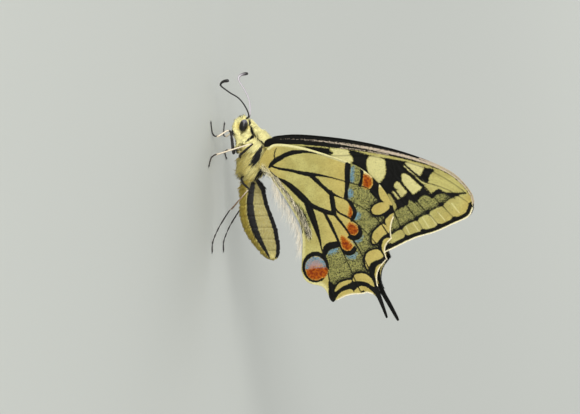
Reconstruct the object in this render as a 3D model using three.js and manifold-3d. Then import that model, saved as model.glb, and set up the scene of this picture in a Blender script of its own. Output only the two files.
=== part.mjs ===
// Swallowtail butterfly (Papilio machaon), life size, standing with its wings closed over its back.
// Units are millimetres and +Z is up. The head points to -X and the insect's left side is -Y.
// Every soft outline is the outline of the coat, out to the tips of the hairs.

import * as THREE from 'three';
import { mergeVertices } from 'three/addons/utils/BufferGeometryUtils.js';
import Module from 'manifold-3d';

const wasm = await Module();
wasm.setup();

// ---------------------------------------------------------------- driving dimensions

const wingThickness = 0.5;
const jointGap = 0.3;

// Roots of the left wings on the thorax, and how the closed wings lean together and spread behind.
const forewingRoot = new THREE.Vector3(-1.1, -2.5, 8.9);
const forewingLean = 2.4;
const rightForewingSlip = { x: -0.25, turn: 0.35 };
const hindwingRoot = new THREE.Vector3(2.9, -3.45, 9.6);
const hindwingLean = 2.2;
const hindwingSpread = 1.2;

// The left tail has lost its tip, the right one is whole: length and lean from the wing's rear.
const leftTail = { length: 3.9, lean: 20, tipWidth: 0.75 };
const rightTail = { length: 5.2, lean: 29, tipWidth: 0.85 };
const tailWaist = 1.35;

const eye = { centre: [-4.5, 1.28, 5.15], radii: [1.12, 0.82, 0.84], tilt: 16 };
const head = { centre: [-4.4, 0, 4.65], radii: [1.75, 1.35, 1.2] };
const coil = { centre: [-3.6, 0, 4.0], outerRadius: 1.2, innerRadius: 0.35, turns: 1.5, thickness: 0.25 };

// ---------------------------------------------------------------- materials

function finish(color, roughness, metalness = 0) {
  return new THREE.MeshStandardMaterial({ color, roughness, metalness });
}

const creamHair = finish('#e6d79c', 0.9);
const ochreHair = finish('#b99d52', 0.9);
const blackHorn = finish('#17150f', 0.45);
const paleHorn = finish('#cfc4a0', 0.5);
const eyeGloss = finish('#3a342b', 0.2);
const wingYellow = finish('#d8c983', 0.75);

// ---------------------------------------------------------------- shaping helpers

const model = new THREE.Group();

function addPart(name, geometry, material, parent = model) {
  const mesh = new THREE.Mesh(geometry, material);
  mesh.name = name;
  parent.add(mesh);
  return mesh;
}

// A closed skin over rings of points, with one point closing each end.
function skinOver(rings, firstTip, lastTip) {
  const sides = rings[0].length;
  const points = [firstTip, ...rings.flat(), lastTip];
  const last = points.length - 1;
  const at = (ring, side) => 1 + ring * sides + (side % sides);
  const triangles = [];
  for (let side = 0; side < sides; side += 1) {
    triangles.push(0, at(0, side + 1), at(0, side));
    triangles.push(last, at(rings.length - 1, side), at(rings.length - 1, side + 1));
    for (let ring = 0; ring < rings.length - 1; ring += 1) {
      triangles.push(at(ring, side), at(ring, side + 1), at(ring + 1, side));
      triangles.push(at(ring, side + 1), at(ring + 1, side + 1), at(ring + 1, side));
    }
  }
  const geometry = new THREE.BufferGeometry().setFromPoints(points);
  geometry.setIndex(triangles);
  return geometry;
}

// A body length between its back line and its belly line, which share both end points, as [x, z].
// Sections are ellipses from the belly to the back, and the width follows a rounded bow.
function fleshLength({ back, belly, halfWidth, bow = 0.6, count = 26, around = 20, crease = () => 1 }) {
  const backLine = new THREE.SplineCurve(back.map(([x, z]) => new THREE.Vector2(x, z)));
  const bellyLine = new THREE.SplineCurve(belly.map(([x, z]) => new THREE.Vector2(x, z)));
  const rings = [];
  for (let ring = 1; ring < count; ring += 1) {
    const along = (1 - Math.cos((Math.PI * ring) / count)) / 2;
    const top = backLine.getPoint(along);
    const low = bellyLine.getPoint(along);
    const middle = top.clone().add(low).multiplyScalar(0.5);
    const reach = top.clone().sub(low).multiplyScalar(0.5 * crease(along));
    const width = halfWidth * Math.sin(Math.PI * along) ** bow * crease(along);
    const points = [];
    for (let side = 0; side < around; side += 1) {
      const angle = (2 * Math.PI * side) / around;
      const x = middle.x + reach.x * Math.cos(angle);
      const z = middle.y + reach.y * Math.cos(angle);
      points.push(new THREE.Vector3(x, -width * Math.sin(angle), z));
    }
    rings.push(points);
  }
  const [firstX, firstZ] = back[0];
  const [lastX, lastZ] = back[back.length - 1];
  return skinOver(rings, new THREE.Vector3(firstX, 0, firstZ), new THREE.Vector3(lastX, 0, lastZ));
}

// A limb of changing thickness along a smooth line; radii are spread evenly along it.
function limb(points, radii, { steps = 10, sides = 8 } = {}) {
  const line = new THREE.CatmullRomCurve3(points.map((point) => new THREE.Vector3(...point)));
  const frames = line.computeFrenetFrames(steps);
  const thickness = new THREE.SplineCurve(radii.map((radius, i) => new THREE.Vector2(i, radius)));
  const rings = [];
  for (let step = 0; step <= steps; step += 1) {
    const centre = line.getPointAt(step / steps);
    const radius = thickness.getPoint(step / steps).y;
    const ring = [];
    for (let side = 0; side < sides; side += 1) {
      const angle = (2 * Math.PI * side) / sides;
      const point = centre.clone();
      point.addScaledVector(frames.normals[step], radius * Math.cos(angle));
      point.addScaledVector(frames.binormals[step], radius * Math.sin(angle));
      ring.push(point);
    }
    rings.push(ring);
  }
  const firstTip = line.getPointAt(0).addScaledVector(frames.tangents[0], -0.4 * radii[0]);
  const lastRadius = radii[radii.length - 1];
  const lastTip = line.getPointAt(1).addScaledVector(frames.tangents[steps], 0.4 * lastRadius);
  return skinOver(rings, firstTip, lastTip);
}

function ball(centre, radii, tilt = 0, grow = 0) {
  const geometry = new THREE.SphereGeometry(1, 18, 12);
  geometry.scale(...radii.map((radius) => radius + grow));
  geometry.rotateY(THREE.MathUtils.degToRad(tilt));
  return geometry.translate(...centre);
}

// ---------------------------------------------------------------- cutting one solid by another

function toSolid(geometry) {
  const bare = geometry.clone();
  bare.deleteAttribute('normal');
  bare.deleteAttribute('uv');
  const merged = mergeVertices(bare, 1e-4);
  const vertProperties = Float32Array.from(merged.attributes.position.array);
  const triVerts = Uint32Array.from(merged.index.array);
  const solid = new wasm.Manifold(new wasm.Mesh({ numProp: 3, vertProperties, triVerts }));
  return solid;
}

function toGeometry(solid) {
  const { vertProperties, triVerts } = solid.getMesh();
  const geometry = new THREE.BufferGeometry();
  geometry.setAttribute('position', new THREE.BufferAttribute(Float32Array.from(vertProperties), 3));
  geometry.setIndex(new THREE.BufferAttribute(Uint32Array.from(triVerts), 1));
  return geometry;
}

function cutAway(geometry, cutters) {
  return toGeometry(cutters.reduce((solid, cutter) => solid.subtract(toSolid(cutter)), toSolid(geometry)));
}

// The sole of a foot is a small flat on the ground.
function flatBelow(geometry) {
  const ground = new THREE.BoxGeometry(60, 60, 4).translate(0, 0, -2);
  return cutAway(geometry, [ground]);
}

// ---------------------------------------------------------------- head

const sides = [{ side: 'left', sign: -1 }, { side: 'right', sign: 1 }];

function eyeBall(sign, grow) {
  const [x, y, z] = eye.centre;
  return ball([x, sign * y, z], eye.radii, eye.tilt, grow);
}

function palp(sign, grow) {
  const line = [[-2.9, 4.5], [-2.9, 3.75], [-3.6, 3.35], [-4.6, 3.35], [-5.5, 3.75]];
  const points = line.map(([x, z]) => [x, sign * (0.85 - 0.04 * Math.abs(x + 2.9)), z]);
  const radii = [0.3, 0.42, 0.46, 0.42, 0.26].map((radius) => radius + grow);
  return limb(points, radii, { steps: 9, sides: 8 });
}

function coilLine() {
  const points = [];
  const steps = 22;
  for (let step = 0; step <= steps; step += 1) {
    const angle = 2 * Math.PI * coil.turns * (step / steps) + 1.2;
    const radius = THREE.MathUtils.lerp(coil.outerRadius, coil.innerRadius, step / steps);
    const [x, y, z] = coil.centre;
    points.push([x - radius * Math.sin(angle), y, z + radius * Math.cos(angle)]);
  }
  return points;
}

function buildHead() {
  const coilRoom = new THREE.CylinderGeometry(
    coil.outerRadius + coil.thickness + jointGap,
    coil.outerRadius + coil.thickness + jointGap,
    2 * (coil.thickness + jointGap),
    24,
  ).translate(...coil.centre);
  const cutters = [coilRoom];
  for (const { side, sign } of sides) {
    cutters.push(eyeBall(sign, jointGap), palp(sign, jointGap));
    addPart(`eye_${side}`, eyeBall(sign, 0), eyeGloss);
    addPart(`palp_${side}`, palp(sign, 0), creamHair);
  }
  addPart('head', cutAway(ball(head.centre, head.radii), cutters), creamHair);
  const coilRadii = [coil.thickness, coil.thickness, coil.thickness];
  addPart('proboscis', limb(coilLine(), coilRadii, { steps: 30, sides: 6 }), blackHorn);
}

function buildAntennae() {
  const left = [
    [-6.3, -0.65, 6.0], [-7.9, -1.5, 5.5], [-9.4, -2.5, 4.5], [-10.4, -3.5, 3.1],
    [-11.6, -4.6, 1.7], [-12.1, -4.9, 1.7], [-12.5, -5.2, 2.3], [-12.65, -5.5, 3.3],
  ];
  const right = [
    [-6.3, 0.65, 5.95], [-8.4, 1.4, 5.8], [-9.65, 2.1, 5.3], [-10.9, 2.9, 4.5],
    [-12.7, 4.0, 3.2], [-13.4, 4.4, 3.4], [-13.7, 4.8, 4.0], [-13.8, 5.2, 4.8],
  ];
  const radii = [0.25, 0.25, 0.25, 0.25, 0.3, 0.38, 0.36, 0.22];
  addPart('antenna_left', limb(left, radii, { steps: 24, sides: 8 }), blackHorn);
  addPart('antenna_right', limb(right, radii, { steps: 24, sides: 8 }), blackHorn);
}

// ---------------------------------------------------------------- neck, thorax and abdomen

function buildTrunk() {
  const neck = fleshLength({
    back: [[-5.2, 6.1], [-4.4, 6.4], [-3.4, 6.8], [-2.5, 6.5], [-1.7, 5.5]],
    belly: [[-5.2, 6.1], [-4.4, 6.15], [-3.4, 5.85], [-2.5, 5.0], [-1.7, 5.5]],
    halfWidth: 0.8,
    count: 12,
    around: 14,
  });
  addPart('neck', neck, blackHorn);

  const thorax = fleshLength({
    back: [
      [-5.2, 6.6], [-4.7, 7.3], [-3.8, 8.3], [-2.7, 9.4], [-1.6, 10.2],
      [0.1, 10.5], [1.9, 10.3], [3.7, 9.7], [4.9, 8.6], [5.3, 7.2],
    ],
    belly: [
      [-5.2, 6.6], [-4.2, 7.0], [-3.2, 7.2], [-2.0, 6.8], [-0.7, 5.4],
      [0.3, 4.1], [1.5, 3.4], [3.2, 3.3], [4.6, 4.3], [5.3, 7.2],
    ],
    halfWidth: 2.4,
    bow: 0.55,
  });
  addPart('thorax', thorax, creamHair);

  const segments = 8;
  const abdomen = fleshLength({
    back: [
      [5.7, 6.6], [6.1, 8.4], [7.3, 9.1], [10.0, 9.8], [11.8, 10.5],
      [14.2, 11.4], [16.4, 11.8], [18.2, 11.95], [19.8, 11.5], [20.4, 10.4],
    ],
    belly: [
      [5.7, 6.6], [6.1, 4.9], [7.3, 4.3], [9.6, 4.1], [12.0, 4.1],
      [14.0, 4.7], [15.8, 5.6], [17.6, 6.9], [19.6, 8.7], [20.4, 10.4],
    ],
    halfWidth: 2.35,
    bow: 0.5,
    crease: (along) => 1 - 0.02 * Math.abs(Math.cos(Math.PI * segments * along)) ** 6,
  });
  addPart('abdomen', abdomen, ochreHair);
}

// ---------------------------------------------------------------- legs

// Points of the left legs from the body outwards; the right legs mirror them, a little out of step.
const legs = [
  {
    pair: 'front',
    stride: 0.7,
    femur: [[0.6, -1.9, 3.4], [-1.4, -2.25, 3.25], [-3.3, -2.55, 3.0]],
    tibia: [[-3.5, -3.2, 2.45], [-2.6, -3.9, 1.1]],
    tarsus: [[-2.55, -4.5, 0.6], [-2.9, -5.0, 0.3], [-3.9, -5.7, 0.2], [-5.2, -6.4, 0.2]],
  },
  {
    pair: 'mid',
    stride: -0.8,
    femur: [[1.4, -2.35, 4.0], [0.3, -2.9, 5.5], [-1.05, -3.5, 7.1]],
    tibia: [[-1.1, -4.3, 6.8], [-0.3, -4.8, 4.2], [0.6, -5.2, 1.4]],
    tarsus: [[0.8, -5.6, 0.75], [1.2, -6.2, 0.3], [1.9, -7.2, 0.2], [2.8, -8.3, 0.2]],
  },
  {
    pair: 'hind',
    stride: 0.9,
    femur: [[5.2, -2.2, 4.1], [6.1, -3.2, 5.4], [7.0, -4.0, 6.7]],
    tibia: [[7.4, -4.7, 6.4], [8.9, -4.8, 5.1], [10.4, -4.8, 3.8]],
    tarsus: [
      [10.9, -4.9, 3.3], [12.4, -4.9, 2.3], [14.2, -5.0, 1.25],
      [16.2, -5.1, 0.4], [17.3, -5.2, 0.2], [18.5, -5.3, 0.2],
    ],
  },
];

function buildLegs() {
  const coxa = [[-2.0, -1.35, 5.2], [-1.2, -1.25, 4.5], [-0.35, -1.1, 3.65]];
  for (const { side, sign } of sides) {
    const place = (points, stride) => points.map(([x, y, z]) => {
      const outward = Math.max(0, -y - 2) / 6;
      return [x + (sign > 0 ? stride * outward : 0), -sign * y, z];
    });
    addPart(`front_${side}_coxa`, limb(place(coxa, 0), [0.4, 0.62, 0.3], { steps: 6 }), creamHair);
    for (const { pair, stride, femur, tibia, tarsus } of legs) {
      const thigh = limb(place(femur, stride), [0.28, 0.42, 0.3], { steps: 6 });
      const shin = limb(place(tibia, stride), [0.25, 0.27, 0.25], { steps: 4 });
      const foot = flatBelow(limb(place(tarsus, stride), [0.25, 0.25, 0.25], { steps: 12 }));
      addPart(`${pair}_${side}_femur`, thigh, blackHorn);
      addPart(`${pair}_${side}_tibia`, shin, paleHorn);
      addPart(`${pair}_${side}_tarsus`, foot, blackHorn);
    }
  }
}

// ---------------------------------------------------------------- wings

// Wing outlines are drawn flat as [outward, rearward] from the wing's root.
function spline(shape, points) {
  shape.splineThru(points.map(([out, rear]) => new THREE.Vector2(out, rear)));
}

// A hollow stretch of margin between two vein tips.
function scallop(shape, tip, depth) {
  const start = shape.currentPoint.clone();
  const end = new THREE.Vector2(...tip);
  const inward = new THREE.Vector2(-(end.y - start.y), end.x - start.x).normalize();
  const middle = start.clone().add(end).multiplyScalar(0.5).addScaledVector(inward, 2 * depth);
  shape.quadraticCurveTo(middle.x, middle.y, end.x, end.y);
}

function forewingShape() {
  const shape = new THREE.Shape();
  shape.moveTo(0.3, 0.3);
  spline(shape, [
    [0.6, -0.7], [2.2, -1.2], [6.8, -1.4], [16.0, -0.5], [25.3, 1.5], [33.6, 4.7], [37.5, 8.3], [38.4, 11.0],
  ]);
  spline(shape, [[37.5, 12.9], [34.7, 14.3], [31.4, 15.8], [27.6, 17.0], [22.6, 19.4], [17.2, 21.7]]);
  spline(shape, [[16.0, 21.6], [13.0, 18.6], [6.5, 10.0], [1.2, 2.0]]);
  shape.closePath();
  return shape;
}

function hindwingShape(tail) {
  const shape = new THREE.Shape();
  shape.moveTo(0.4, 0.9);
  spline(shape, [
    [-1.0, 0.3], [-0.9, -1.3], [0.5, -3.4], [2.2, -4.1], [6.3, -3.6], [11.8, -2.0], [16.9, 0.0],
    [20.7, 3.1], [23.0, 6.6], [23.5, 8.7],
  ]);
  scallop(shape, [23.0, 12.9], 0.35);
  scallop(shape, [22.2, 16.6], 0.75);
  scallop(shape, [21.3, 23.1], 1.35);
  const lean = THREE.MathUtils.degToRad(tail.lean);
  const along = new THREE.Vector2(Math.sin(lean), Math.cos(lean)).multiplyScalar(tail.length);
  const tip = new THREE.Vector2(20.85, 23.5).add(along);
  const across = new THREE.Vector2(Math.cos(lean), -Math.sin(lean)).multiplyScalar(tail.tipWidth / 2);
  const belly = new THREE.Vector2(20.85, 23.5).addScaledVector(along, 0.5);
  spline(shape, [
    [belly.x + tailWaist * across.x, belly.y + tailWaist * across.y],
    [tip.x + across.x, tip.y + across.y],
    [tip.x + 0.07 * along.x, tip.y + 0.07 * along.y],
    [tip.x - across.x, tip.y - across.y],
    [belly.x - tailWaist * across.x, belly.y - tailWaist * across.y],
    [20.2, 23.7],
  ]);
  scallop(shape, [17.6, 23.0], 0.6);
  scallop(shape, [13.0, 24.3], 0.4);
  spline(shape, [[12.4, 24.5], [11.8, 23.9], [11.4, 22.9], [10.4, 21.7], [8.4, 21.2], [7.2, 20.4], [6.6, 18.8]]);
  spline(shape, [[6.7, 16.2], [6.8, 13.5], [6.5, 11.0], [5.7, 9.2], [3.5, 5.6], [1.6, 3.0]]);
  shape.closePath();
  return shape;
}

// A flat blade whose outward axis is +Z and rearward axis +X, hung on a root and leaned about it.
function addWing(name, shape, root, sign, { lean, spread = 0, turn = 0, slip = 0 }) {
  const blade = new THREE.ExtrudeGeometry(shape, {
    depth: wingThickness,
    bevelEnabled: false,
    curveSegments: 3,
  });
  blade.translate(0, 0, -wingThickness / 2);
  const outward = new THREE.Vector3(0, 0, 1);
  const rearward = new THREE.Vector3(1, 0, 0);
  const across = new THREE.Vector3(0, 1, 0);
  blade.applyMatrix4(new THREE.Matrix4().makeBasis(outward, rearward, across));
  const hinge = new THREE.Group();
  hinge.position.set(root.x + slip, -sign * root.y, root.z);
  hinge.rotation.set(
    THREE.MathUtils.degToRad(sign * lean),
    THREE.MathUtils.degToRad(turn),
    THREE.MathUtils.degToRad(sign * spread),
  );
  model.add(hinge);
  addPart(name, blade, wingYellow, hinge);
}

function buildWings() {
  const slips = { left: { x: 0, turn: 0 }, right: rightForewingSlip };
  const tails = { left: leftTail, right: rightTail };
  for (const { side, sign } of sides) {
    const { x, turn } = slips[side];
    addWing(`forewing_${side}`, forewingShape(), forewingRoot, sign, { lean: forewingLean, turn, slip: x });
    const pose = { lean: hindwingLean, spread: hindwingSpread };
    addWing(`hindwing_${side}`, hindwingShape(tails[side]), hindwingRoot, sign, pose);
  }
}

// ---------------------------------------------------------------- the whole insect

buildHead();
buildAntennae();
buildTrunk();
buildLegs();
buildWings();

// The origin is on the ground under the middle of the insect.
model.updateMatrixWorld(true);
const box = new THREE.Box3().setFromObject(model, true);
const centre = box.getCenter(new THREE.Vector3());
model.position.set(-centre.x, -centre.y, -box.min.z);
model.updateMatrixWorld(true);

export default model;
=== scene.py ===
import math

import bmesh
import bpy
import numpy as np
from mathutils import Matrix, Vector, kdtree


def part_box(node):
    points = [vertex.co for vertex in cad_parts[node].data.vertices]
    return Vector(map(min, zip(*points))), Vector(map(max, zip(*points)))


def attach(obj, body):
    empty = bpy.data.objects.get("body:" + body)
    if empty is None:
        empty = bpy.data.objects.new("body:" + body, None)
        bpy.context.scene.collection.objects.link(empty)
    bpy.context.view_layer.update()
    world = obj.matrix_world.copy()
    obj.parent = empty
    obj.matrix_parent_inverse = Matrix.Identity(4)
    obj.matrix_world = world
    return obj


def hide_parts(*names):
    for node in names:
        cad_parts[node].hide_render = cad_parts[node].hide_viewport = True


# A swallowtail butterfly at life size, standing with its wings closed over its back.
# Shapes are drawn in millimetres and moved into the frame when a piece is finished.

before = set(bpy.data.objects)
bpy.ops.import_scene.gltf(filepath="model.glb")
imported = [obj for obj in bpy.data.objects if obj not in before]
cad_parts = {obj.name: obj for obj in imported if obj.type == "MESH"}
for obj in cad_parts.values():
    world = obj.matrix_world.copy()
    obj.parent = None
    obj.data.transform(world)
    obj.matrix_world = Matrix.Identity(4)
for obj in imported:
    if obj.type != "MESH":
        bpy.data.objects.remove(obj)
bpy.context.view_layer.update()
mm = 0.001

drawnEye = Vector((-4.5, -1.28, 5.15))  # the middle of the left eye in the drawings
eyeLow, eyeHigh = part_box("eye_left")
shift = (eyeLow + eyeHigh) / 2 / mm - drawnEye
toFrame = Matrix.Scale(mm, 4) @ Matrix.Translation(shift)
sides = {"left": -1, "right": 1}

print("frame loaded:", len(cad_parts), "nodes")


def addObject(name, data):
    made = bpy.data.objects.new(name, data)
    bpy.context.scene.collection.objects.link(made)
    return made


# camera and light

view = {  # millimetres and degrees, but nearest and farthest in metres
    "aim": (10.4, 0.0, 13.5),
    "distance": 600,
    "fieldWidth": 105.56,
    "elevation": 10,
    "azimuth": -3,
    "sensor": 36,
    "nearest": 0.01,
    "farthest": 20,
}


def placeCamera():
    tilt, turn = math.radians(view["elevation"]), math.radians(view["azimuth"])
    back = Vector((math.sin(turn) * math.cos(tilt), -math.cos(turn) * math.cos(tilt), math.sin(tilt)))
    headward = Vector((-1, 0, 0))  # the head points to the top of the frame
    up = (headward - headward.dot(back) * back).normalized()
    data = bpy.data.cameras.new("camera")
    data.sensor_width = view["sensor"]
    data.lens = view["sensor"] * view["distance"] / view["fieldWidth"]
    data.clip_start, data.clip_end = view["nearest"], view["farthest"]
    camera = addObject("camera", data)
    axes = Matrix((up.cross(back), up, back)).transposed().to_4x4()
    place = toFrame @ Vector(view["aim"]) + back * view["distance"] * mm
    camera.matrix_world = Matrix.Translation(place) @ axes
    bpy.context.scene.camera = camera


studio = {
    "lamps": {  # power in watts, width in metres and place from the middle of the view
        "key": (10.2, 0.5, (-0.75, -0.95, 0.3)),
        "fill": (5.0, 0.7, (-0.2, -1.0, 0.22)),
        "back": (2.4, 0.7, (-0.2, 0.9, 0.6)),
    },
    "skyColour": (0.96, 0.98, 1.0, 1),
    "skyStrength": 0.7,
}


def lightStudio():
    middle = toFrame @ Vector(view["aim"])
    for name, (power, width, origin) in studio["lamps"].items():
        data = bpy.data.lights.new(name, "AREA")
        data.energy = power
        data.size = width
        lamp = addObject(name, data)
        lamp.location = middle + Vector(origin)
        lamp.rotation_mode = "QUATERNION"
        lamp.rotation_quaternion = (middle - lamp.location).to_track_quat("-Z", "Y")
    world = bpy.data.worlds.new("studio")
    world.use_nodes = True
    sky = world.node_tree.nodes["Background"]
    sky.inputs["Color"].default_value = studio["skyColour"]
    sky.inputs["Strength"].default_value = studio["skyStrength"]
    bpy.context.scene.world = world
    bpy.context.scene.view_settings.view_transform = "Standard"


# node helpers

def link(tree, value, socket):
    if isinstance(value, bpy.types.NodeSocket):
        tree.links.new(value, socket)
    else:
        socket.default_value = value


def node(tree, kind, inputs=None, **settings):
    made = tree.nodes.new("ShaderNode" + kind)
    for name, value in settings.items():
        setattr(made, name, value)
    for name, value in (inputs or {}).items():
        link(tree, value, made.inputs[name])
    return made


def calc(tree, operation, first, second):
    return node(tree, "Math", {0: first, 1: second}, operation=operation).outputs[0]


def times(tree, first, second):
    return calc(tree, "MULTIPLY", first, second)


def swing(tree, value, reach):
    # a value from 0 to 1 as one that swings round nothing
    return times(tree, calc(tree, "SUBTRACT", value, 0.5), reach)


def blend(tree, share, first, second):
    return node(tree, "Mix", {0: share, 6: first, 7: second}, data_type="RGBA").outputs[2]


def ramp(tree, value, low, high, to=(0.0, 1.0), kind="SMOOTHSTEP"):
    ends = {0: value, 1: low, 2: high, 3: to[0], 4: to[1]}
    return node(tree, "MapRange", ends, interpolation_type=kind).outputs[0]


def field(tree, name, output="Fac"):
    # a value that the mesh carries
    return node(tree, "Attribute", attribute_name=name, attribute_type="GEOMETRY").outputs[output]


def objectPlace(tree):
    return node(tree, "TexCoord").outputs["Object"]


def noise(tree, place, scale, detail, roughness=0.5):
    inputs = {"Vector": place, "Scale": scale, "Detail": detail, "Roughness": roughness}
    return node(tree, "TexNoise", inputs).outputs["Fac"]


def cellsOver(tree, place, scale, randomness):
    # small cells: two random values for each cell and the distance from its middle
    cells = node(tree, "TexVoronoi", {"Vector": place, "Scale": scale, "Randomness": randomness})
    parts = node(tree, "SeparateColor", {"Color": cells.outputs["Color"]})
    return parts.outputs["Red"], parts.outputs["Green"], cells.outputs["Distance"]


def newGroup(name, inputs, outputs):
    tree = bpy.data.node_groups.new(name, "ShaderNodeTree")
    for label, kind, value in inputs:
        socket = tree.interface.new_socket(label, in_out="INPUT", socket_type="NodeSocket" + kind)
        if value is not None:
            socket.default_value = value
    for label, kind in outputs:
        tree.interface.new_socket(label, in_out="OUTPUT", socket_type="NodeSocket" + kind)
    return tree, tree.nodes.new("NodeGroupInput").outputs, tree.nodes.new("NodeGroupOutput").inputs


def useGroup(tree, group, inputs):
    made = tree.nodes.new("ShaderNodeGroup")
    made.node_tree = group
    for name, value in inputs.items():
        link(tree, value, made.inputs[name])
    return made.outputs


def newMaterial(name, finish):
    # finish holds the shader's uniform values
    material = bpy.data.materials.new(name)
    material.use_nodes = True
    tree = material.node_tree
    surface = tree.nodes["Principled BSDF"]
    for label, value in finish.items():
        surface.inputs[label].default_value = value
    return material, tree, surface


def setColour(tree, surface, tint, value):
    shade = node(tree, "HueSaturation", {"Color": tint, "Value": value})
    link(tree, shade.outputs[0], surface.inputs["Base Color"])


def setBump(tree, surface, height, strength, distance, invert=False):
    inputs = {"Height": height, "Strength": strength, "Distance": distance * mm}
    bump = node(tree, "Bump", inputs, invert=invert)
    link(tree, bump.outputs[0], surface.inputs["Normal"])


def colour(red, green, blue):
    # screen values from 0 to 255, as linear light
    shares = [value / 255 for value in (red, green, blue)]
    linear = [s / 12.92 if s <= 0.04045 else ((s + 0.055) / 1.055) ** 2.4 for s in shares]
    return (*linear, 1.0)


# curves and depths, drawn flat in millimetres

farOff = 99.0


def smoothLine(points, perSpan=5, closed=False):
    # a curve through the points, with perSpan places from each to the next
    rows = np.array(points, float)
    if closed:
        before, start, end, after = (np.roll(rows, 1 - k, axis=0) for k in range(4))
    else:
        padded = np.vstack([2 * rows[0] - rows[1], rows, 2 * rows[-1] - rows[-2]])
        before, start, end, after = (padded[k : k + len(rows) - 1] for k in range(4))
    bend, twist = 2 * before - 5 * start + 4 * end - after, 3 * start - before - 3 * end + after
    line = []
    for t in np.arange(perSpan) / perSpan:
        bow = bend * t**2 + twist * t**3
        line.append(0.5 * (2 * start + (end - before) * t + bow))
    line = np.stack(line, axis=1).reshape(-1, rows.shape[1])
    return line if closed else np.vstack([line, rows[-1]])


def runOf(line):
    # the distance covered along a line at each of its places
    steps = np.linalg.norm(np.diff(line, axis=0), axis=1)
    return np.concatenate([[0], np.cumsum(steps)])


def pointsAt(line, wanted):
    # places on a line by the distance covered along it
    run = runOf(line)
    return np.stack([np.interp(wanted, run, column) for column in line.T], axis=1)


def alongSpan(place, start, end):
    # how far along the span each place lies nearest to it, from 0 to 1
    run = end - start
    return np.clip((place - start) @ run / max(run @ run, 1e-12), 0, 1)


def lineDistance(place, line, widths=None):
    # how far each place lies from a line, less half the line's width there
    best = np.full(len(place), farOff)
    for i in range(len(line) - 1):
        share = alongSpan(place, line[i], line[i + 1])
        gap = np.linalg.norm(place - line[i] - share[:, None] * (line[i + 1] - line[i]), axis=1)
        if widths is not None:
            gap = gap - (widths[i] + (widths[i + 1] - widths[i]) * share) / 2
        best = np.minimum(best, gap)
    return best


def closedLine(line):
    return np.vstack([line, line[:1]])


def insideOf(place, line):
    inside = np.zeros(len(place), bool)
    for (ax, ay), (bx, by) in zip(line, np.roll(line, -1, axis=0)):
        crosses = (ay > place[:, 1]) != (by > place[:, 1])
        if ay != by:
            inside ^= crosses & (place[:, 0] < ax + (place[:, 1] - ay) * (bx - ax) / (by - ay))
    return inside


def nearby(place, line, reach):
    low, high = line.min(0) - reach, line.max(0) + reach
    return np.all((place > low) & (place < high), axis=1)


noMark = -1.2  # the depth of a mark where it is out of reach


def strokeDepth(place, stroke, reach=-noMark):
    # positive inside a stroke whose rows are out, rear and width
    rows = smoothLine(stroke)
    depth = np.full(len(place), -reach)
    near = nearby(place, rows[:, :2], reach)
    depth[near] = -lineDistance(place[near], rows[:, :2], rows[:, 2])
    return np.maximum(depth, -reach)


def blotDepth(place, outline, reach=-noMark):
    # positive inside a closed outline
    rows = smoothLine(outline, 4, closed=True)
    depth = np.full(len(place), -reach)
    near = nearby(place, rows, reach)
    gap = lineDistance(place[near], closedLine(rows))
    depth[near] = np.where(insideOf(place[near], rows), gap, -gap)
    return np.maximum(depth, -reach)


def deepest(place, marks, depthOf):
    depth = np.full(len(place), noMark)
    for mark in marks:
        depth = np.maximum(depth, depthOf(place, mark))
    return depth


def smooth(value, low, high):
    share = np.clip((value - low) / (high - low), 0, 1)
    return share * share * (3 - 2 * share)


def ridge(value, width):
    return np.exp(-((value / width) ** 2))


def unit(rows):
    return rows / np.maximum(np.linalg.norm(rows, axis=1), 1e-9)[:, None]


# mesh helpers

def onMap(share):
    # a share from 0 to 1 as a place on the OFBake map, clear of its border
    return 0.01 + 0.98 * share


def meshOf(shape, name):
    mesh = bpy.data.meshes.new(name)
    shape.to_mesh(mesh)
    shape.free()
    return mesh


def readRows(items, label):
    rows = np.empty(len(items) * 3, np.float32)
    items.foreach_get(label, rows)
    return rows.reshape(-1, 3).astype(float)


def readPlaces(mesh):
    return readRows(mesh.vertices, "co")


def writePlaces(mesh, places):
    mesh.vertices.foreach_set("co", places.astype(np.float32).ravel())
    mesh.update()


def storeValues(mesh, name, values):
    layer = mesh.attributes.get(name) or mesh.attributes.new(name, "FLOAT", "POINT")
    layer.data.foreach_set("value", np.asarray(values, np.float32))


def storeMap(mesh, spots):
    # spots holds a place on the map for each corner of the mesh
    layer = mesh.uv_layers.new(name="OFBake")
    layer.data.foreach_set("uv", spots.astype(np.float32).ravel())


def sinkAlongNormals(shape, depths):
    shape.normal_update()
    for vert, depth in zip(shape.verts, depths):
        vert.co -= vert.normal * depth


def finishPiece(name, mesh, material, replaced=(), normals=None):
    # moves the finished shape into the frame and hangs it on the insect's one body
    mesh.transform(toFrame)
    mesh.name = name
    mesh.materials.clear()
    mesh.materials.append(material)
    mesh.shade_smooth()
    if normals is not None:
        mesh.normals_split_custom_set_from_vertices(normals.tolist())
    piece = addObject(name, mesh)
    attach(piece, "root")
    if replaced:
        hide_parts(*replaced)
    return piece


# wing markings, drawn flat as [out, rear] from the wing's root; strokes also have a width

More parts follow.
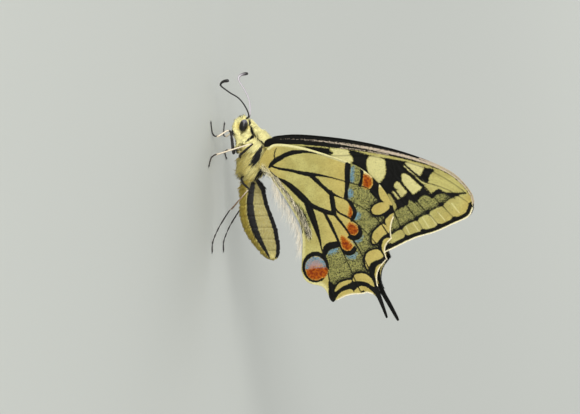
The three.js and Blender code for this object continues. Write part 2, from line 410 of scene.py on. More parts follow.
hindMarks = {
    "veins": [
        [(0.7, 0.1, 0.5), (1.5, -0.8, 0.85), (2.6, -1.5, 0.9), (3.9, -2.2, 0.85), (5.4, -2.6, 0.8),
         (7.2, -2.7, 0.5), (8.7, -2.5, 0.26), (10.3, -2.1, 0.0), (12.4, -1.5, -0.3), (14.7, -0.7, -0.3)],
        [(2.0, -3.3, 0.14), (1.7, -2.6, 0.2), (1.6, -1.9, 0.18), (1.8, -1.3, 0.22)],
        [(0.9, -0.1, 0.3), (2.6, 0.4, 0.46), (4.5, 0.7, 0.52), (6.3, 1.1, 0.66), (8.0, 1.4, 0.84),
         (9.6, 1.5, 0.5), (11.8, 1.9, 0.26), (14.8, 2.7, 0.16), (18.4, 3.8, 0.13), (20.5, 5.4, 0.12)],
        [(7.8, 1.3, 0.5), (9.1, 2.3, 0.8), (10.4, 3.5, 0.66), (11.8, 4.7, 0.76), (13.1, 5.3, 0.34),
         (14.4, 5.8, 0.2), (16.2, 6.6, 0.13), (18.4, 7.8, 0.13), (20.7, 9.8, 0.16), (22.9, 12.9, 0.3)],
        [(12.4, 6.9, 0.3), (13.3, 8.2, 0.36), (14.8, 9.0, 0.34), (16.1, 9.8, 0.28), (17.7, 11.2, 0.14),
         (19.4, 12.9, 0.14), (20.9, 14.8, 0.3), (22.0, 16.4, 0.4)],
        [(12.4, 8.4, 0.5), (13.5, 9.7, 0.5), (14.8, 11.4, 0.4), (16.3, 13.7, 0.3), (17.6, 15.8, 0.16),
         (19.0, 18.6, 0.2), (20.3, 21.3, 0.4), (21.0, 23.5, 0.5)],
        [(10.7, 8.2, 0.5), (11.8, 10.2, 0.62), (12.9, 12.5, 0.5), (13.8, 14.6, 0.4), (14.8, 16.8, 0.13),
         (15.9, 19.3, 0.16), (16.8, 21.3, 0.2), (17.6, 22.9, 0.14)],
        [(7.6, 6.6, 1.1), (8.4, 8.6, 1.3), (9.2, 10.8, 1.0), (9.9, 13.1, 0.5), (10.4, 15.3, 0.16),
         (11.1, 17.7, 0.14), (11.7, 20.4, 0.2), (12.4, 23.4, 0.3)],
        [(0.8, 0.8, 0.16), (2.1, 2.0, 0.3), (3.7, 2.9, 0.8), (5.2, 4.1, 1.1), (6.9, 5.7, 1.2),
         (8.2, 6.9, 0.95), (9.5, 7.5, 0.8), (10.9, 8.1, 0.85), (12.6, 8.5, 0.8)],
        [(11.9, 4.6, 0.7), (12.2, 6.2, 0.95), (12.5, 8.3, 0.9)],
        [(1.4, 1.9, 0.16), (2.8, 3.5, 0.3), (4.3, 5.3, 0.4), (5.5, 7.2, 0.36), (6.4, 9.5, 0.26),
         (6.8, 12.0, 0.14)],
    ],
    "black": {
        "radialBar": [(14.6, -0.75), (15.5, -0.45), (15.4, 1.1), (15.35, 2.8), (15.0, 4.4), (15.05, 5.9),
                      (14.25, 5.8), (14.45, 4.0), (14.4, 2.2), (14.4, 0.4)],
        "costalLine": [(17.2, 0.5), (17.8, 0.7), (17.75, 2.0), (17.5, 3.4), (16.8, 3.5), (17.25, 2.0)],
        "costalCorner": [(19.5, 1.3), (20.3, 2.5), (20.8, 3.3), (20.5, 4.4), (20.8, 5.9), (20.0, 5.6),
                         (18.9, 4.3), (19.5, 3.3), (19.5, 2.2)],
        "firstCrescent": [(14.3, 5.5), (15.5, 6.1), (16.2, 7.0), (16.65, 8.0), (16.5, 9.0), (15.8, 9.9),
                          (15.4, 9.5), (15.85, 8.5), (15.7, 7.5), (15.1, 6.6)],
        "secondCrescent": [(16.6, 10.4), (17.5, 11.2), (17.7, 12.2), (17.1, 13.05), (15.9, 13.3),
                           (15.0, 12.8), (15.4, 12.25), (16.3, 12.35), (16.85, 11.8), (16.85, 11.0)],
        "thirdCrescent": [(13.8, 14.6), (14.6, 15.1), (15.5, 15.05), (16.2, 14.3), (16.7, 14.9),
                          (16.2, 15.7), (15.2, 16.05), (14.2, 15.7)],
        "fourthArch": [(10.5, 15.8), (10.6, 14.5), (11.4, 13.75), (12.5, 13.5), (13.6, 13.5), (13.75, 14.4),
                       (12.8, 14.75), (11.9, 15.0), (11.3, 15.7), (10.9, 16.5)],
        "knob": [(11.6, 20.7), (12.7, 21.5), (12.7, 22.6), (13.1, 23.4), (13.0, 25.2), (12.2, 25.2),
                 (11.6, 23.3), (11.55, 22.0)],
    },
    # the black rim: its inner line runs through the yellow spots, its outer one beyond the wing
    "rim": [
        (20.0, 2.0), (20.3, 3.3), (20.3, 5.0), (20.4, 6.2), (20.7, 7.5), (21.2, 8.6), (21.8, 9.3),
        (21.7, 10.2), (20.9, 11.2), (20.5, 12.6), (20.7, 13.8), (20.4, 15.1), (19.6, 16.2), (19.1, 17.6),
        (19.0, 19.0), (18.4, 19.7), (17.2, 19.9), (16.1, 20.2), (14.8, 20.7), (13.6, 21.4), (12.9, 22.2),
        (12.4, 23.0), (12.4, 25.5), (18.0, 26.0), (21.0, 32.0), (29.0, 32.0), (26.0, 12.0), (25.0, 6.0),
        (22.0, 2.0),
    ],
    "yellow": {
        "firstSpot": [(20.8, 3.1), (21.9, 4.3), (23.0, 5.6), (23.5, 6.6), (22.9, 6.9), (21.9, 6.5),
                      (21.0, 5.8), (20.6, 4.7), (20.6, 3.7)],
        "secondSpot": [(19.3, 7.8), (19.6, 7.1), (20.6, 6.5), (21.7, 6.4), (22.5, 6.8), (22.5, 7.5),
                       (21.8, 8.1), (20.7, 8.6), (19.7, 8.5)],
        "secondMargin": [(21.8, 9.7), (22.3, 9.0), (23.0, 8.4), (23.9, 8.3), (23.7, 10.0), (23.3, 11.0),
                         (22.8, 11.6), (22.2, 10.8)],
        "thirdSpot": [(19.4, 13.1), (19.6, 11.9), (20.4, 11.0), (21.3, 10.3), (21.9, 10.5), (22.6, 11.2),
                      (22.5, 11.8), (21.6, 12.3), (20.9, 13.0), (20.2, 13.8), (19.6, 13.8)],
        "thirdCrescent": [(23.2, 12.9), (22.2, 12.8), (21.5, 13.2), (21.2, 14.2), (21.3, 15.1), (21.8, 16.0),
                          (22.3, 16.6), (22.4, 15.7), (22.0, 14.9), (22.0, 14.2), (22.5, 13.5)],
        "fourthSpot": [(18.3, 17.7), (18.2, 16.5), (18.6, 15.5), (19.5, 15.0), (20.5, 14.9), (21.3, 15.5),
                       (21.5, 16.1), (20.8, 16.7), (19.8, 17.0), (19.1, 17.6), (18.7, 18.5)],
        "fourthCrescent": [
            (22.2, 17.2), (21.1, 17.4), (20.3, 17.9), (20.0, 18.8), (20.0, 19.9), (20.4, 20.9), (20.9, 21.7),
            (21.2, 21.5), (20.8, 20.5), (20.6, 19.4), (20.8, 18.4), (21.6, 17.8),
        ],
        "fifthSpot": [(16.0, 20.1), (16.3, 19.5), (17.1, 19.25), (18.0, 19.25), (18.9, 19.7), (19.5, 20.4),
                      (19.9, 21.5), (19.5, 21.5), (18.8, 21.0), (17.9, 20.7), (16.8, 20.6), (16.1, 20.7)],
        "fifthCrescent": [(16.2, 22.6), (16.7, 21.9), (17.5, 21.5), (18.5, 21.7), (19.3, 22.3), (20.0, 23.0),
                          (20.5, 24.2), (19.6, 23.7), (18.6, 23.4), (17.6, 23.6), (16.6, 23.4)],
        "sixthSpot": [(12.7, 22.6), (12.9, 21.8), (13.6, 21.0), (14.5, 20.6), (15.5, 20.4), (15.8, 20.7),
                      (15.1, 21.2), (14.2, 21.6), (13.4, 22.2)],
        "sixthCrescent": [(12.8, 24.6), (13.1, 23.5), (13.8, 22.7), (14.6, 22.3), (15.5, 22.1), (16.1, 22.5),
                          (16.3, 23.6), (15.2, 24.2), (14.0, 24.8)],
    },
    "blackDots": [[(17.4, 22.5), (17.9, 22.3), (18.2, 22.55), (17.9, 22.85)]],
    "blue": [
        [(15.45, 0.0), (16.1, 0.1), (16.05, 1.1), (16.1, 2.2), (15.8, 2.8), (15.35, 2.5), (15.35, 1.1)],
        [(15.2, 3.9), (15.8, 4.4), (15.8, 5.3), (15.05, 5.6), (14.9, 4.9)],
        [(16.6, 8.2), (17.2, 8.4), (17.0, 9.2), (16.4, 9.5), (16.2, 9.0)],
        [(17.6, 12.3), (17.4, 13.2), (16.5, 13.7), (15.9, 13.4), (16.8, 13.1)],
        [(14.6, 15.9), (15.9, 15.85), (16.7, 15.6), (16.2, 16.5), (15.2, 16.5)],
        [(11.4, 15.4), (12.3, 14.75), (13.4, 14.6), (12.8, 15.4), (11.7, 15.9)],
    ],
    "rust": [
        [(17.9, 1.4), (18.8, 1.7), (19.3, 2.4), (19.2, 3.3), (18.6, 3.8), (17.8, 3.5), (17.7, 2.4)],
        [(15.5, 6.8), (15.85, 7.7), (15.85, 8.6), (15.4, 9.3), (15.1, 8.9), (15.3, 7.9)],
        [(15.3, 10.2), (16.1, 10.4), (16.8, 11.1), (16.8, 11.9), (16.2, 12.3), (15.3, 12.1), (14.8, 11.3)],
        [(13.9, 12.6), (14.5, 12.8), (15.3, 13.6), (15.8, 14.4), (15.4, 15.0), (14.6, 15.0), (14.0, 14.4),
         (13.85, 13.5)],
    ],
    # scattered black scales between the discal marks and the rim
    "dusted": [
        (15.2, -0.5), (17.3, 0.3), (17.5, 1.6), (17.2, 3.4), (18.8, 4.0), (19.6, 5.2), (20.6, 5.9),
        (19.0, 7.1), (19.0, 8.6), (20.2, 9.2), (21.6, 9.4), (21.2, 10.2), (19.9, 11.0), (19.2, 12.1),
        (19.2, 13.5), (20.0, 14.3), (18.4, 15.4), (17.9, 16.8), (18.3, 18.9), (16.9, 19.0), (15.7, 19.6),
        (14.3, 20.2), (12.9, 21.1), (12.3, 22.2), (11.7, 20.4), (11.1, 17.7), (10.5, 15.6), (12.3, 14.7),
        (13.5, 14.6), (14.2, 15.7), (15.8, 15.8), (16.4, 14.6), (16.0, 13.5), (17.4, 12.4), (16.7, 10.4),
        (15.6, 9.8), (16.6, 8.0), (15.6, 6.6), (14.9, 5.6),
    ],
    # the black ring fades at the bearing "opening", in degrees from outward towards the rear
    "eyespot": {"middle": (9.2, 18.15), "reach": (2.45, 2.8), "ring": 0.58, "opening": 28},
    "tailRoot": (21.1, 23.0),
    "lobe": [(6.2, 19.0), (8.0, 20.9), (10.4, 21.2), (11.8, 23.4), (10.5, 22.6), (8.0, 21.8)],
    "hairStreak": [(3.2, 4.2, 0.1), (5.0, 6.4, 0.4), (6.4, 8.0, 0.9), (7.3, 9.6, 1.2), (7.8, 11.4, 0.9),
                   (8.1, 13.0, 0.1)],
}

foreMarks = {
    "veins": [
        [(1.6, 0.3, 0.3), (7.0, 1.6, 0.3), (12.5, 2.0, -0.6), (18.0, 1.9, -0.6), (22.4, 2.5, -0.6),
         (26.8, 3.3, -0.6), (30.5, 4.6, -0.6), (34.2, 6.6, -0.5), (36.6, 8.3, 0.02)],
        [(25.2, 3.0, 0.3), (28.1, 5.5, 0.42), (29.4, 6.6, 0.3), (32.0, 7.4, -0.1), (34.6, 8.5, -0.1),
         (37.2, 10.2, 0.02)],
        [(24.6, 2.9, 0.4), (26.4, 4.8, 0.4), (27.9, 6.2, 0.42), (29.5, 7.6, 0.36), (31.0, 9.3, 0.2),
         (32.6, 10.8, 0.13), (34.0, 12.3, 0.1), (35.3, 13.6, 0.1)],
        [(23.3, 4.4, 0.4), (24.7, 6.3, 0.4), (27.1, 8.9, 0.36), (28.8, 11.0, 0.18), (30.7, 12.9, 0.13),
         (32.4, 14.8, 0.1)],
        [(23.2, 6.8, 0.4), (24.6, 8.9, 0.36), (26.6, 11.4, 0.22), (28.2, 13.6, 0.13), (29.6, 16.0, 0.1)],
        [(22.4, 8.6, 0.4), (23.6, 11.2, 0.3), (24.9, 14.2, 0.16), (26.6, 17.2, 0.1)],
        [(19.6, 8.8, 0.4), (21.2, 12.6, 0.3), (22.4, 16.0, 0.16), (23.3, 19.0, 0.12)],
        [(14.2, 6.9, 0.4), (16.2, 11.2, 0.3), (18.2, 15.8, 0.2), (19.8, 20.4, 0.14)],
        [(1.6, 0.9, 0.4), (6.5, 3.4, 0.5), (12.0, 6.1, 0.46), (17.0, 8.3, 0.4), (20.6, 9.2, 0.36),
         (22.4, 8.6, 0.36)],
        [(23.6, 3.2, 0.4), (24.0, 5.2, 0.44), (23.3, 7.2, 0.44), (22.3, 8.8, 0.4)],
        [(1.4, 1.6, 0.3), (6.0, 7.0, 0.4), (11.0, 13.6, 0.4), (15.6, 19.6, 0.3), (16.8, 21.2, 0.2)],
    ],
    "black": {
        "wedge": [(7.5, 0.35), (10.0, 0.5), (13.2, 0.75), (12.2, 1.0), (12.9, 1.6), (12.0, 1.7),
                  (10.0, 1.3)],
        "discalGround": [
            (15.6, 0.9), (19.0, 1.75), (22.0, 2.35), (26.0, 3.0), (29.4, 4.0), (31.2, 4.4), (30.8, 5.9),
            (30.2, 6.9), (32.2, 7.7), (33.4, 8.3), (34.6, 8.9), (35.0, 9.6), (33.8, 9.2), (32.8, 8.8),
            (31.7, 9.1), (30.9, 9.7), (29.8, 9.1), (28.9, 9.4), (28.4, 9.9), (27.7, 10.5), (26.8, 10.0),
            (26.5, 10.8), (25.2, 11.5), (23.9, 12.2), (22.6, 13.2), (21.6, 13.6), (21.0, 11.9), (22.2, 10.2),
            (21.2, 9.3), (18.8, 8.9), (16.4, 7.9), (16.6, 5.0), (16.2, 3.6), (16.4, 2.4),
        ],
        "hiddenBar": [(18.4, 8.6), (21.0, 9.6), (22.6, 11.2), (21.8, 13.4), (20.6, 14.6), (20.2, 12.6),
                      (18.4, 10.6)],
        "apexLine": [(33.8, 8.5), (35.2, 8.5), (36.9, 8.5), (37.0, 8.8), (35.9, 8.9), (34.6, 9.4)],
    },
    "yellow": {
        "cellPatch": [(12.4, 0.8), (13.4, 0.7), (14.7, 0.8), (15.8, 1.1), (15.8, 1.7), (16.4, 2.4),
                      (16.5, 3.1), (16.0, 3.4), (15.6, 6.6), (13.0, 6.0), (11.6, 3.0), (12.9, 1.6)],
        "outerCellPatch": [
            (19.7, 2.0), (20.8, 2.0), (21.7, 2.4), (22.3, 2.9), (22.45, 4.0), (22.5, 4.9), (22.2, 5.8),
            (21.7, 6.5), (21.2, 6.9), (20.4, 6.2), (19.5, 5.3), (19.1, 4.4), (18.95, 3.1), (19.2, 2.4),
        ],
        "firstPatch": [(26.2, 3.15), (27.4, 3.25), (28.8, 3.65), (29.4, 4.0), (29.2, 4.7), (28.8, 5.4),
                       (28.3, 5.65), (27.4, 5.3), (26.5, 4.7), (25.9, 4.2), (25.7, 3.8)],
        "secondPatch": [(25.5, 5.2), (26.3, 5.3), (27.2, 6.0), (28.3, 7.1), (29.0, 7.7), (28.3, 8.4),
                        (27.4, 8.9), (26.8, 8.4), (26.1, 7.5), (25.5, 6.7), (25.3, 6.0)],
        "sliver": [(27.8, 5.75), (28.6, 6.1), (29.4, 6.6), (30.0, 7.1), (29.6, 7.2), (28.6, 6.55)],
        "thirdPatch": [(29.5, 7.4), (30.3, 6.9), (31.2, 7.3), (32.1, 7.65), (31.6, 8.1), (30.9, 8.6),
                       (30.5, 8.8), (29.9, 8.1)],
        "fourthPatch": [
            (24.0, 7.2), (24.4, 6.7), (25.0, 6.8), (25.5, 7.5), (25.9, 8.0), (26.3, 8.6), (25.7, 9.2),
            (25.0, 9.7), (24.6, 9.8), (24.1, 9.1), (23.6, 8.5), (24.3, 8.4), (24.6, 8.05), (24.1, 7.8),
        ],
        "apexPatch": [
            (30.9, 5.0), (31.8, 4.8), (33.1, 5.15), (34.3, 5.8), (35.4, 6.7), (36.3, 7.7), (36.8, 8.45),
            (35.8, 8.55), (34.7, 8.5), (33.4, 8.5), (32.5, 8.1), (31.4, 7.3), (30.6, 6.6), (30.3, 6.0),
        ],
        "fifthPatch": [(22.8, 8.9), (23.7, 9.6), (24.4, 11.4), (23.0, 12.1), (22.3, 10.4)],
        "sixthPatch": [(21.0, 13.9), (22.0, 13.7), (22.6, 15.2), (21.6, 16.2), (20.6, 15.4)],
        "seventhPatch": [(17.0, 11.0), (19.4, 10.4), (20.4, 12.8), (21.0, 15.6), (19.4, 16.4), (18.2, 14.2)],
        "eighthPatch": [(12.6, 13.4), (15.4, 11.4), (17.2, 15.0), (18.4, 18.0), (17.2, 18.6)],
    },
    # outer ends of the dust, where the submarginal black line runs
    "submargin": [
        (36.8, 8.7, 0.3), (35.8, 8.7, 0.5), (34.9, 9.1, 0.6), (33.8, 9.8, 0.4), (32.7, 10.6, 0.44),
        (31.8, 11.2, 0.4), (30.5, 11.8, 0.42), (29.8, 12.4, 0.38), (28.8, 12.8, 0.46), (27.7, 13.6, 0.42),
        (26.6, 14.0, 0.5), (25.5, 14.8, 0.46), (24.8, 15.3, 0.5), (23.3, 16.1, 0.6), (22.0, 17.1, 0.8),
        (20.4, 17.8, 1.0), (19.0, 18.8, 1.0), (17.4, 20.0, 1.0),
    ],
    "dusted": [
        (34.9, 9.3), (33.8, 9.0), (32.8, 8.7), (31.7, 9.0), (30.9, 9.6), (29.8, 9.0), (28.9, 9.3),
        (28.4, 9.8), (27.7, 10.4), (26.8, 9.9), (26.5, 10.7), (25.2, 11.4), (23.9, 12.1), (22.6, 13.1),
        (21.4, 15.6), (19.8, 17.2), (18.4, 18.4), (18.0, 19.4), (19.6, 18.6), (21.4, 17.6), (23.3, 16.2),
        (25.5, 14.9), (27.7, 13.7), (29.8, 12.4), (31.8, 11.2), (33.6, 9.9),
    ],
    # how pale some of the yellow patches are
    "paler": {"cellPatch": 0.65, "outerCellPatch": 0.45, "firstPatch": 0.55, "secondPatch": 0.45,
              "fourthPatch": 0.3, "sliver": 0.3},
    "shaded": [(5.5, 1.7, 0.6), (8.0, 1.8, 1.5), (10.5, 2.0, 2.0), (12.2, 2.1, 1.2)],
    # painted highlights: pale lines along folds of the membrane
    "creases": [
        [(28.9, 12.7), (30.3, 14.9)], [(31.9, 12.1), (33.2, 13.6)], [(26.0, 14.6), (27.2, 16.8)],
        [(34.4, 10.5), (35.8, 12.2)], [(30.3, 12.4), (31.8, 14.6)], [(27.4, 14.0), (28.8, 16.1)],
    ],
}


# finishes shared by several materials

def buildScaleCells():
    # single wing scales in staggered rows: two random values for each scale and its height
    tree, given, made = newGroup(
        "scaleCells",
        [("Rows", "Vector", None), ("Along", "Float", 8.0), ("Across", "Float", 11.0)],
        [("Random", "Float"), ("Second", "Float"), ("Height", "Float")],
    )
    spread = node(tree, "CombineXYZ", {"X": given["Along"], "Y": given["Across"], "Z": 1.0})
    stretched = node(tree, "VectorMath", {0: given["Rows"], 1: spread.outputs[0]}, operation="MULTIPLY")
    first, second, distance = cellsOver(tree, stretched.outputs[0], 1.0, 0.75)
    height = ramp(tree, distance, 0.0, 0.6, (1.0, 0.0))
    for value, label in ((first, "Random"), (second, "Second"), (height, "Height")):
        tree.links.new(value, made[label])
    return tree


def buildMarkMask():
    # turns a depth in millimetres into a mask whose edge follows single scales
    tree, given, made = newGroup(
        "markMask",
        [("Depth", "Float", 0.0), ("Random", "Float", 0.5), ("Ragged", "Float", 0.12),
         ("Soft", "Float", 0.03)],
        [("Mask", "Float")],
    )
    depth = calc(tree, "ADD", given["Depth"], swing(tree, given["Random"], given["Ragged"]))
    low = times(tree, given["Soft"], -1.0)
    tree.links.new(ramp(tree, depth, low, given["Soft"], kind="LINEAR"), made["Mask"])
    return tree


scaleCells = buildScaleCells()
markMask = buildMarkMask()

wingColours = {
    "ground": colour(166, 158, 94),
    "groundDeep": colour(142, 131, 70),
    "warm": colour(170, 146, 72),
    "cream": colour(206, 199, 144),
    # painted sheen over the black of the forewing's front edge
    "costaSheen": colour(184, 167, 153),
    "black": colour(6, 6, 3),
    "blue": colour(84, 130, 144),
    "lilac": colour(146, 122, 124),
    "rust": colour(150, 74, 3),
    "rustDeep": colour(106, 34, 0),
    "orange": colour(180, 124, 30),
    "dustPale": colour(140, 137, 77),
    "dustDark": colour(31, 31, 17),
}

wingFinish = {
    "shader": {"Specular IOR Level": 0.1, "Sheen Weight": 0.02, "Sheen Roughness": 0.5},
    "dustRows": {"Along": 9.2, "Across": 12.0},
    "drift": 0.35,
    "mottle": 2.2,
    "deepShare": 0.55,
    "speckShare": 0.35,
    "strayFrom": 0.997,
    "markEdge": 0.03,
    "shadeShare": 0.55,
    "glint": (0.86, 1.12),
    "roughness": (0.5, 0.72),
    "bump": 0.35,
    "scaleHeight": 0.03,
}


def wingMaterial():
    tone, finish = wingColours, wingFinish
    material, tree, surface = newMaterial("wingScales", finish["shader"])
    rows = field(tree, "scaleRows", "Vector")
    cells = useGroup(tree, scaleCells, {"Rows": rows})
    dustCells = useGroup(tree, scaleCells, {"Rows": rows, **finish["dustRows"]})
    drift = noise(tree, rows, finish["drift"], 3.0)
    mottle = noise(tree, rows, finish["mottle"], 4.0, 0.65)
    random = cells["Second"]

    def mask(name, ragged, soft=finish["markEdge"]):
        inputs = {"Depth": field(tree, name), "Random": cells["Random"], "Ragged": ragged, "Soft": soft}
        return useGroup(tree, markMask, inputs)["Mask"]

    deep = times(tree, ramp(tree, drift, 0.4, 0.62), finish["deepShare"])
    ground = blend(tree, deep, tone["ground"], tone["groundDeep"])
    ground = blend(tree, field(tree, "warm"), ground, tone["warm"])
    ground = blend(tree, field(tree, "cream"), ground, tone["cream"])
    speck = times(tree, ramp(tree, mottle, 0.56, 0.74), finish["speckShare"])
    ground = blend(tree, speck, ground, tone["groundDeep"])
    stray = calc(tree, "GREATER_THAN", random, finish["strayFrom"])
    ground = blend(tree, times(tree, stray, 0.7), ground, tone["dustDark"])

    dust = field(tree, "dust")
    tint = blend(tree, ramp(tree, dust, 0.02, 0.3), ground, tone["dustPale"])
    dark = ramp(tree, calc(tree, "SUBTRACT", dust, dustCells["Random"]), -0.2, 0.24)
    tint = blend(tree, dark, tint, tone["dustDark"])

    halo = ramp(tree, field(tree, "rust"), -0.45, 0.05, (0.0, 0.7))
    tint = blend(tree, halo, tint, tone["orange"])
    rust = blend(tree, ramp(tree, mottle, 0.4, 0.6), tone["rust"], tone["rustDeep"])
    tint = blend(tree, mask("rust", 0.5, 0.06), tint, rust)
    spent = ramp(tree, dustCells["Second"], 0.68, 0.84, (0.0, 0.75))  # dark scales among the blue ones
    lilac = blend(tree, times(tree, spent, 0.6), tone["lilac"], tone["dustDark"])
    powder = calc(tree, "GREATER_THAN", field(tree, "lilac"), random)
    tint = blend(tree, times(tree, powder, 0.85), tint, lilac)
    blue = blend(tree, times(tree, random, 0.3), tone["blue"], tone["lilac"])
    blue = blend(tree, spent, blue, tone["dustDark"])
    tint = blend(tree, mask("blue", 0.7, 0.04), tint, blue)
    tint = blend(tree, times(tree, field(tree, "shade"), finish["shadeShare"]), tint, tone["dustDark"])
    tint = blend(tree, mask("black", field(tree, "ragged")), tint, tone["black"])
    # painted sheen: pinkish streaks over the black of the forewing's front edge
    costaSheen = blend(tree, times(tree, dustCells["Random"], 0.5), tone["costaSheen"], tone["groundDeep"])
    costaSheenShare = calc(tree, "SUBTRACT", field(tree, "costaSheen"), random)
    tint = blend(tree, ramp(tree, costaSheenShare, 0.0, 0.08), tint, costaSheen)

    setColour(tree, surface, tint, ramp(tree, random, 0, 1, finish["glint"], "LINEAR"))
    rough = ramp(tree, random, 0, 1, finish["roughness"], "LINEAR")
    link(tree, rough, surface.inputs["Roughness"])
    setBump(tree, surface, cells["Height"], finish["bump"], finish["scaleHeight"])
    return material


bodyColours = {
    "cream": colour(248, 240, 172),
    "creamDeep": colour(208, 188, 98),
    "ochre": colour(180, 164, 74),
    "ochreDeep": colour(140, 118, 38),
    "yellow": colour(236, 208, 96),
    "grey": colour(112, 102, 52),
    "white": colour(236, 224, 208),
    "black": colour(14, 12, 9),
    "horn": colour(26, 22, 20),
    "paleHorn": colour(226, 212, 186),
    "feelerSheen": colour(206, 198, 204),
    "brownHorn": colour(120, 92, 62),
    "eye": colour(24, 21, 18),
    # the eye's colours: darker towards its bottom, and a painted highlight at its top
    "eyeLow": colour(14, 11, 7),
    "eyeHigh": colour(128, 126, 136),
}


def buildCoatTint():
    # the coat's colour from the marks that skin and tufts both carry
    tree, given, made = newGroup(
        "coatTint", [("Tone", "Float", 0.5), ("Ragged", "Float", 0.0)], [("Color", "Color")]
    )
    tone = bodyColours
    cream = blend(tree, given["Tone"], tone["cream"], tone["creamDeep"])
    ochre = blend(tree, given["Tone"], tone["ochre"], tone["ochreDeep"])
    tint = blend(tree, field(tree, "ochre"), cream, ochre)
    for name in ("yellow", "grey", "white"):
        tint = blend(tree, field(tree, name), tint, tone[name])
    depth = calc(tree, "ADD", field(tree, "black"), swing(tree, given["Tone"], given["Ragged"]))
    tint = blend(tree, ramp(tree, depth, -0.05, 0.05), tint, tone["black"])
    tree.links.new(tint, made["Color"])
    return tree


coatTint = buildCoatTint()

coatFinish = {
    "shader": {"Roughness": 0.55, "Specular IOR Level": 0.3, "Sheen Weight": 0.2, "Sheen Roughness": 0.4},
    "ragged": 0.25,
    # painted shade: tufts are darker at their roots
    "paintedRootShade": (0.8, 1.04),
    "grain": 30000.0,
    "bump": 0.2,
    "grainHeight": 0.01,
}


def coatMaterial():
    finish = coatFinish
    material, tree, surface = newMaterial("coatTufts", finish["shader"])
    tint = useGroup(tree, coatTint, {"Tone": field(tree, "tone"), "Ragged": finish["ragged"]})["Color"]
    # painted shade: each tuft is darker towards its root
    setColour(tree, surface, tint, ramp(tree, field(tree, "alongTuft"), 0.0, 0.6, finish["paintedRootShade"]))
    grain = noise(tree, objectPlace(tree), finish["grain"], 2.0)
    setBump(tree, surface, grain, finish["bump"], finish["grainHeight"])
    return material


skinFinish = {
    "shader": {"Roughness": 0.7, "Sheen Weight": 0.1},
    "ragged": 0.3,
    "nap": 5200.0,
    "strands": 9000.0,
    "strandStretch": (0.25, 1.0, 1.0),
    # darkened as painted shade, so that the gaps between the tufts read as shadow
    "value": (0.6, 0.85),
    "bump": 0.6,
    "strandHeight": 0.06,
}


def skinMaterial():
    finish = skinFinish
    material, tree, surface = newMaterial("skinUnderCoat", finish["shader"])
    place = objectPlace(tree)
    nap = noise(tree, place, finish["nap"], 3.0, 0.6)
    stretched = node(tree, "Mapping", {"Vector": place, "Scale": finish["strandStretch"]})
    strands = noise(tree, stretched.outputs[0], finish["strands"], 2.0)
    tint = useGroup(tree, coatTint, {"Tone": nap, "Ragged": finish["ragged"]})["Color"]
    # painted shade: the skin under the coat is kept dark
    setColour(tree, surface, tint, ramp(tree, strands, 0.35, 0.65, finish["value"]))
    setBump(tree, surface, strands, finish["bump"], finish["strandHeight"])
    return material


hornFinish = {
    "shader": {"Specular IOR Level": 0.5},
    "scales": 13000.0,
    "wear": 0.25,
    "roughness": (0.32, 0.55),
    "bump": 0.4,
    "scaleHeight": 0.02,
}


def hornMaterial():
    # black horn with a bloom of fine scales, cream where pale, and a painted silvery sheen along the feelers
    finish, tone = hornFinish, bodyColours
    material, tree, surface = newMaterial("scaledHorn", finish["shader"])
    first, second, distance = cellsOver(tree, objectPlace(tree), finish["scales"], 0.8)
    worn = calc(tree, "SUBTRACT", field(tree, "pale"), times(tree, first, finish["wear"]))
    tint = blend(tree, ramp(tree, worn, 0.0, 0.35), tone["horn"], tone["brownHorn"])
    tint = blend(tree, ramp(tree, worn, 0.3, 0.75), tint, tone["paleHorn"])
    tint = blend(tree, field(tree, "feelerSheen"), tint, tone["feelerSheen"])
    value = calc(tree, "ADD", times(tree, field(tree, "tone"), 0.3), 0.85)
    setColour(tree, surface, tint, value)
    link(tree, ramp(tree, second, 0.0, 1.0, finish["roughness"], "LINEAR"), surface.inputs["Roughness"])
    setBump(tree, surface, distance, finish["bump"], finish["scaleHeight"], invert=True)
    return material


eyeFinish = {
    "shader": {"Roughness": 0.28, "Specular IOR Level": 0.3, "Coat Weight": 0.25, "Coat Roughness": 0.15},
    "cloud": 1800.0,
    "cloudReach": 0.3,
    "facets": 21000.0,
    "bump": 0.35,
    "facetHeight": 0.01,
}


def eyeMaterial():
    finish, tone = eyeFinish, bodyColours
    material, tree, surface = newMaterial("facetedEye", finish["shader"])
    place = objectPlace(tree)
    cloud = swing(tree, noise(tree, place, finish["cloud"], 2.0), finish["cloudReach"])
    # painted highlight: paler towards the top and front of the eye, darker towards its bottom
    height = calc(tree, "ADD", field(tree, "high"), cloud)
    tint = blend(tree, ramp(tree, height, 0.0, 0.45), tone["eyeLow"], tone["eye"])
    tint = blend(tree, ramp(tree, height, 0.62, 1.15), tint, tone["eyeHigh"])
    link(tree, tint, surface.inputs["Base Color"])
    _, _, distance = cellsOver(tree, place, finish["facets"], 0.25)
    setBump(tree, surface, distance, finish["bump"], finish["facetHeight"], invert=True)
    return material


# wings

wing = {
    "spacing": 0.13,
    "membrane": 0.1,
    "rimMembrane": 0.05,
    "veinHeight": 0.055,
    "veinWidth": 0.16,
    "cellPuff": 0.1,
    "wave": 0.12,
    "fringeDepth": 0.2,
    "spotEdge": 0.36,
    "veinShade": 0.1,
    "upperBlack": 0.1,
    "upperDust": 0.2,
    "upperEdgeEnd": 28,
    "root": {
        "forewing": {"left": (-1.1, -2.5, 8.9), "right": (-1.35, 2.5, 8.9)},
        "hindwing": {"left": (2.9, -3.45, 9.6), "right": (2.9, 3.45, 9.6)},
    },
    "lean": {"forewing": 2.4, "hindwing": 2.2},
    "spread": {"forewing": 0.0, "hindwing": 1.2},
    "turn": {"forewing": {"left": 0.0, "right": 0.35}, "hindwing": {"left": 0.0, "right": 0.0}},
    "margin": {"forewing": ((38.4, 11.0), (17.2, 21.7)), "hindwing": ((23.5, 8.7), (13.0, 24.4))},
}
marksOf = {"forewing": foreMarks, "hindwing": hindMarks}


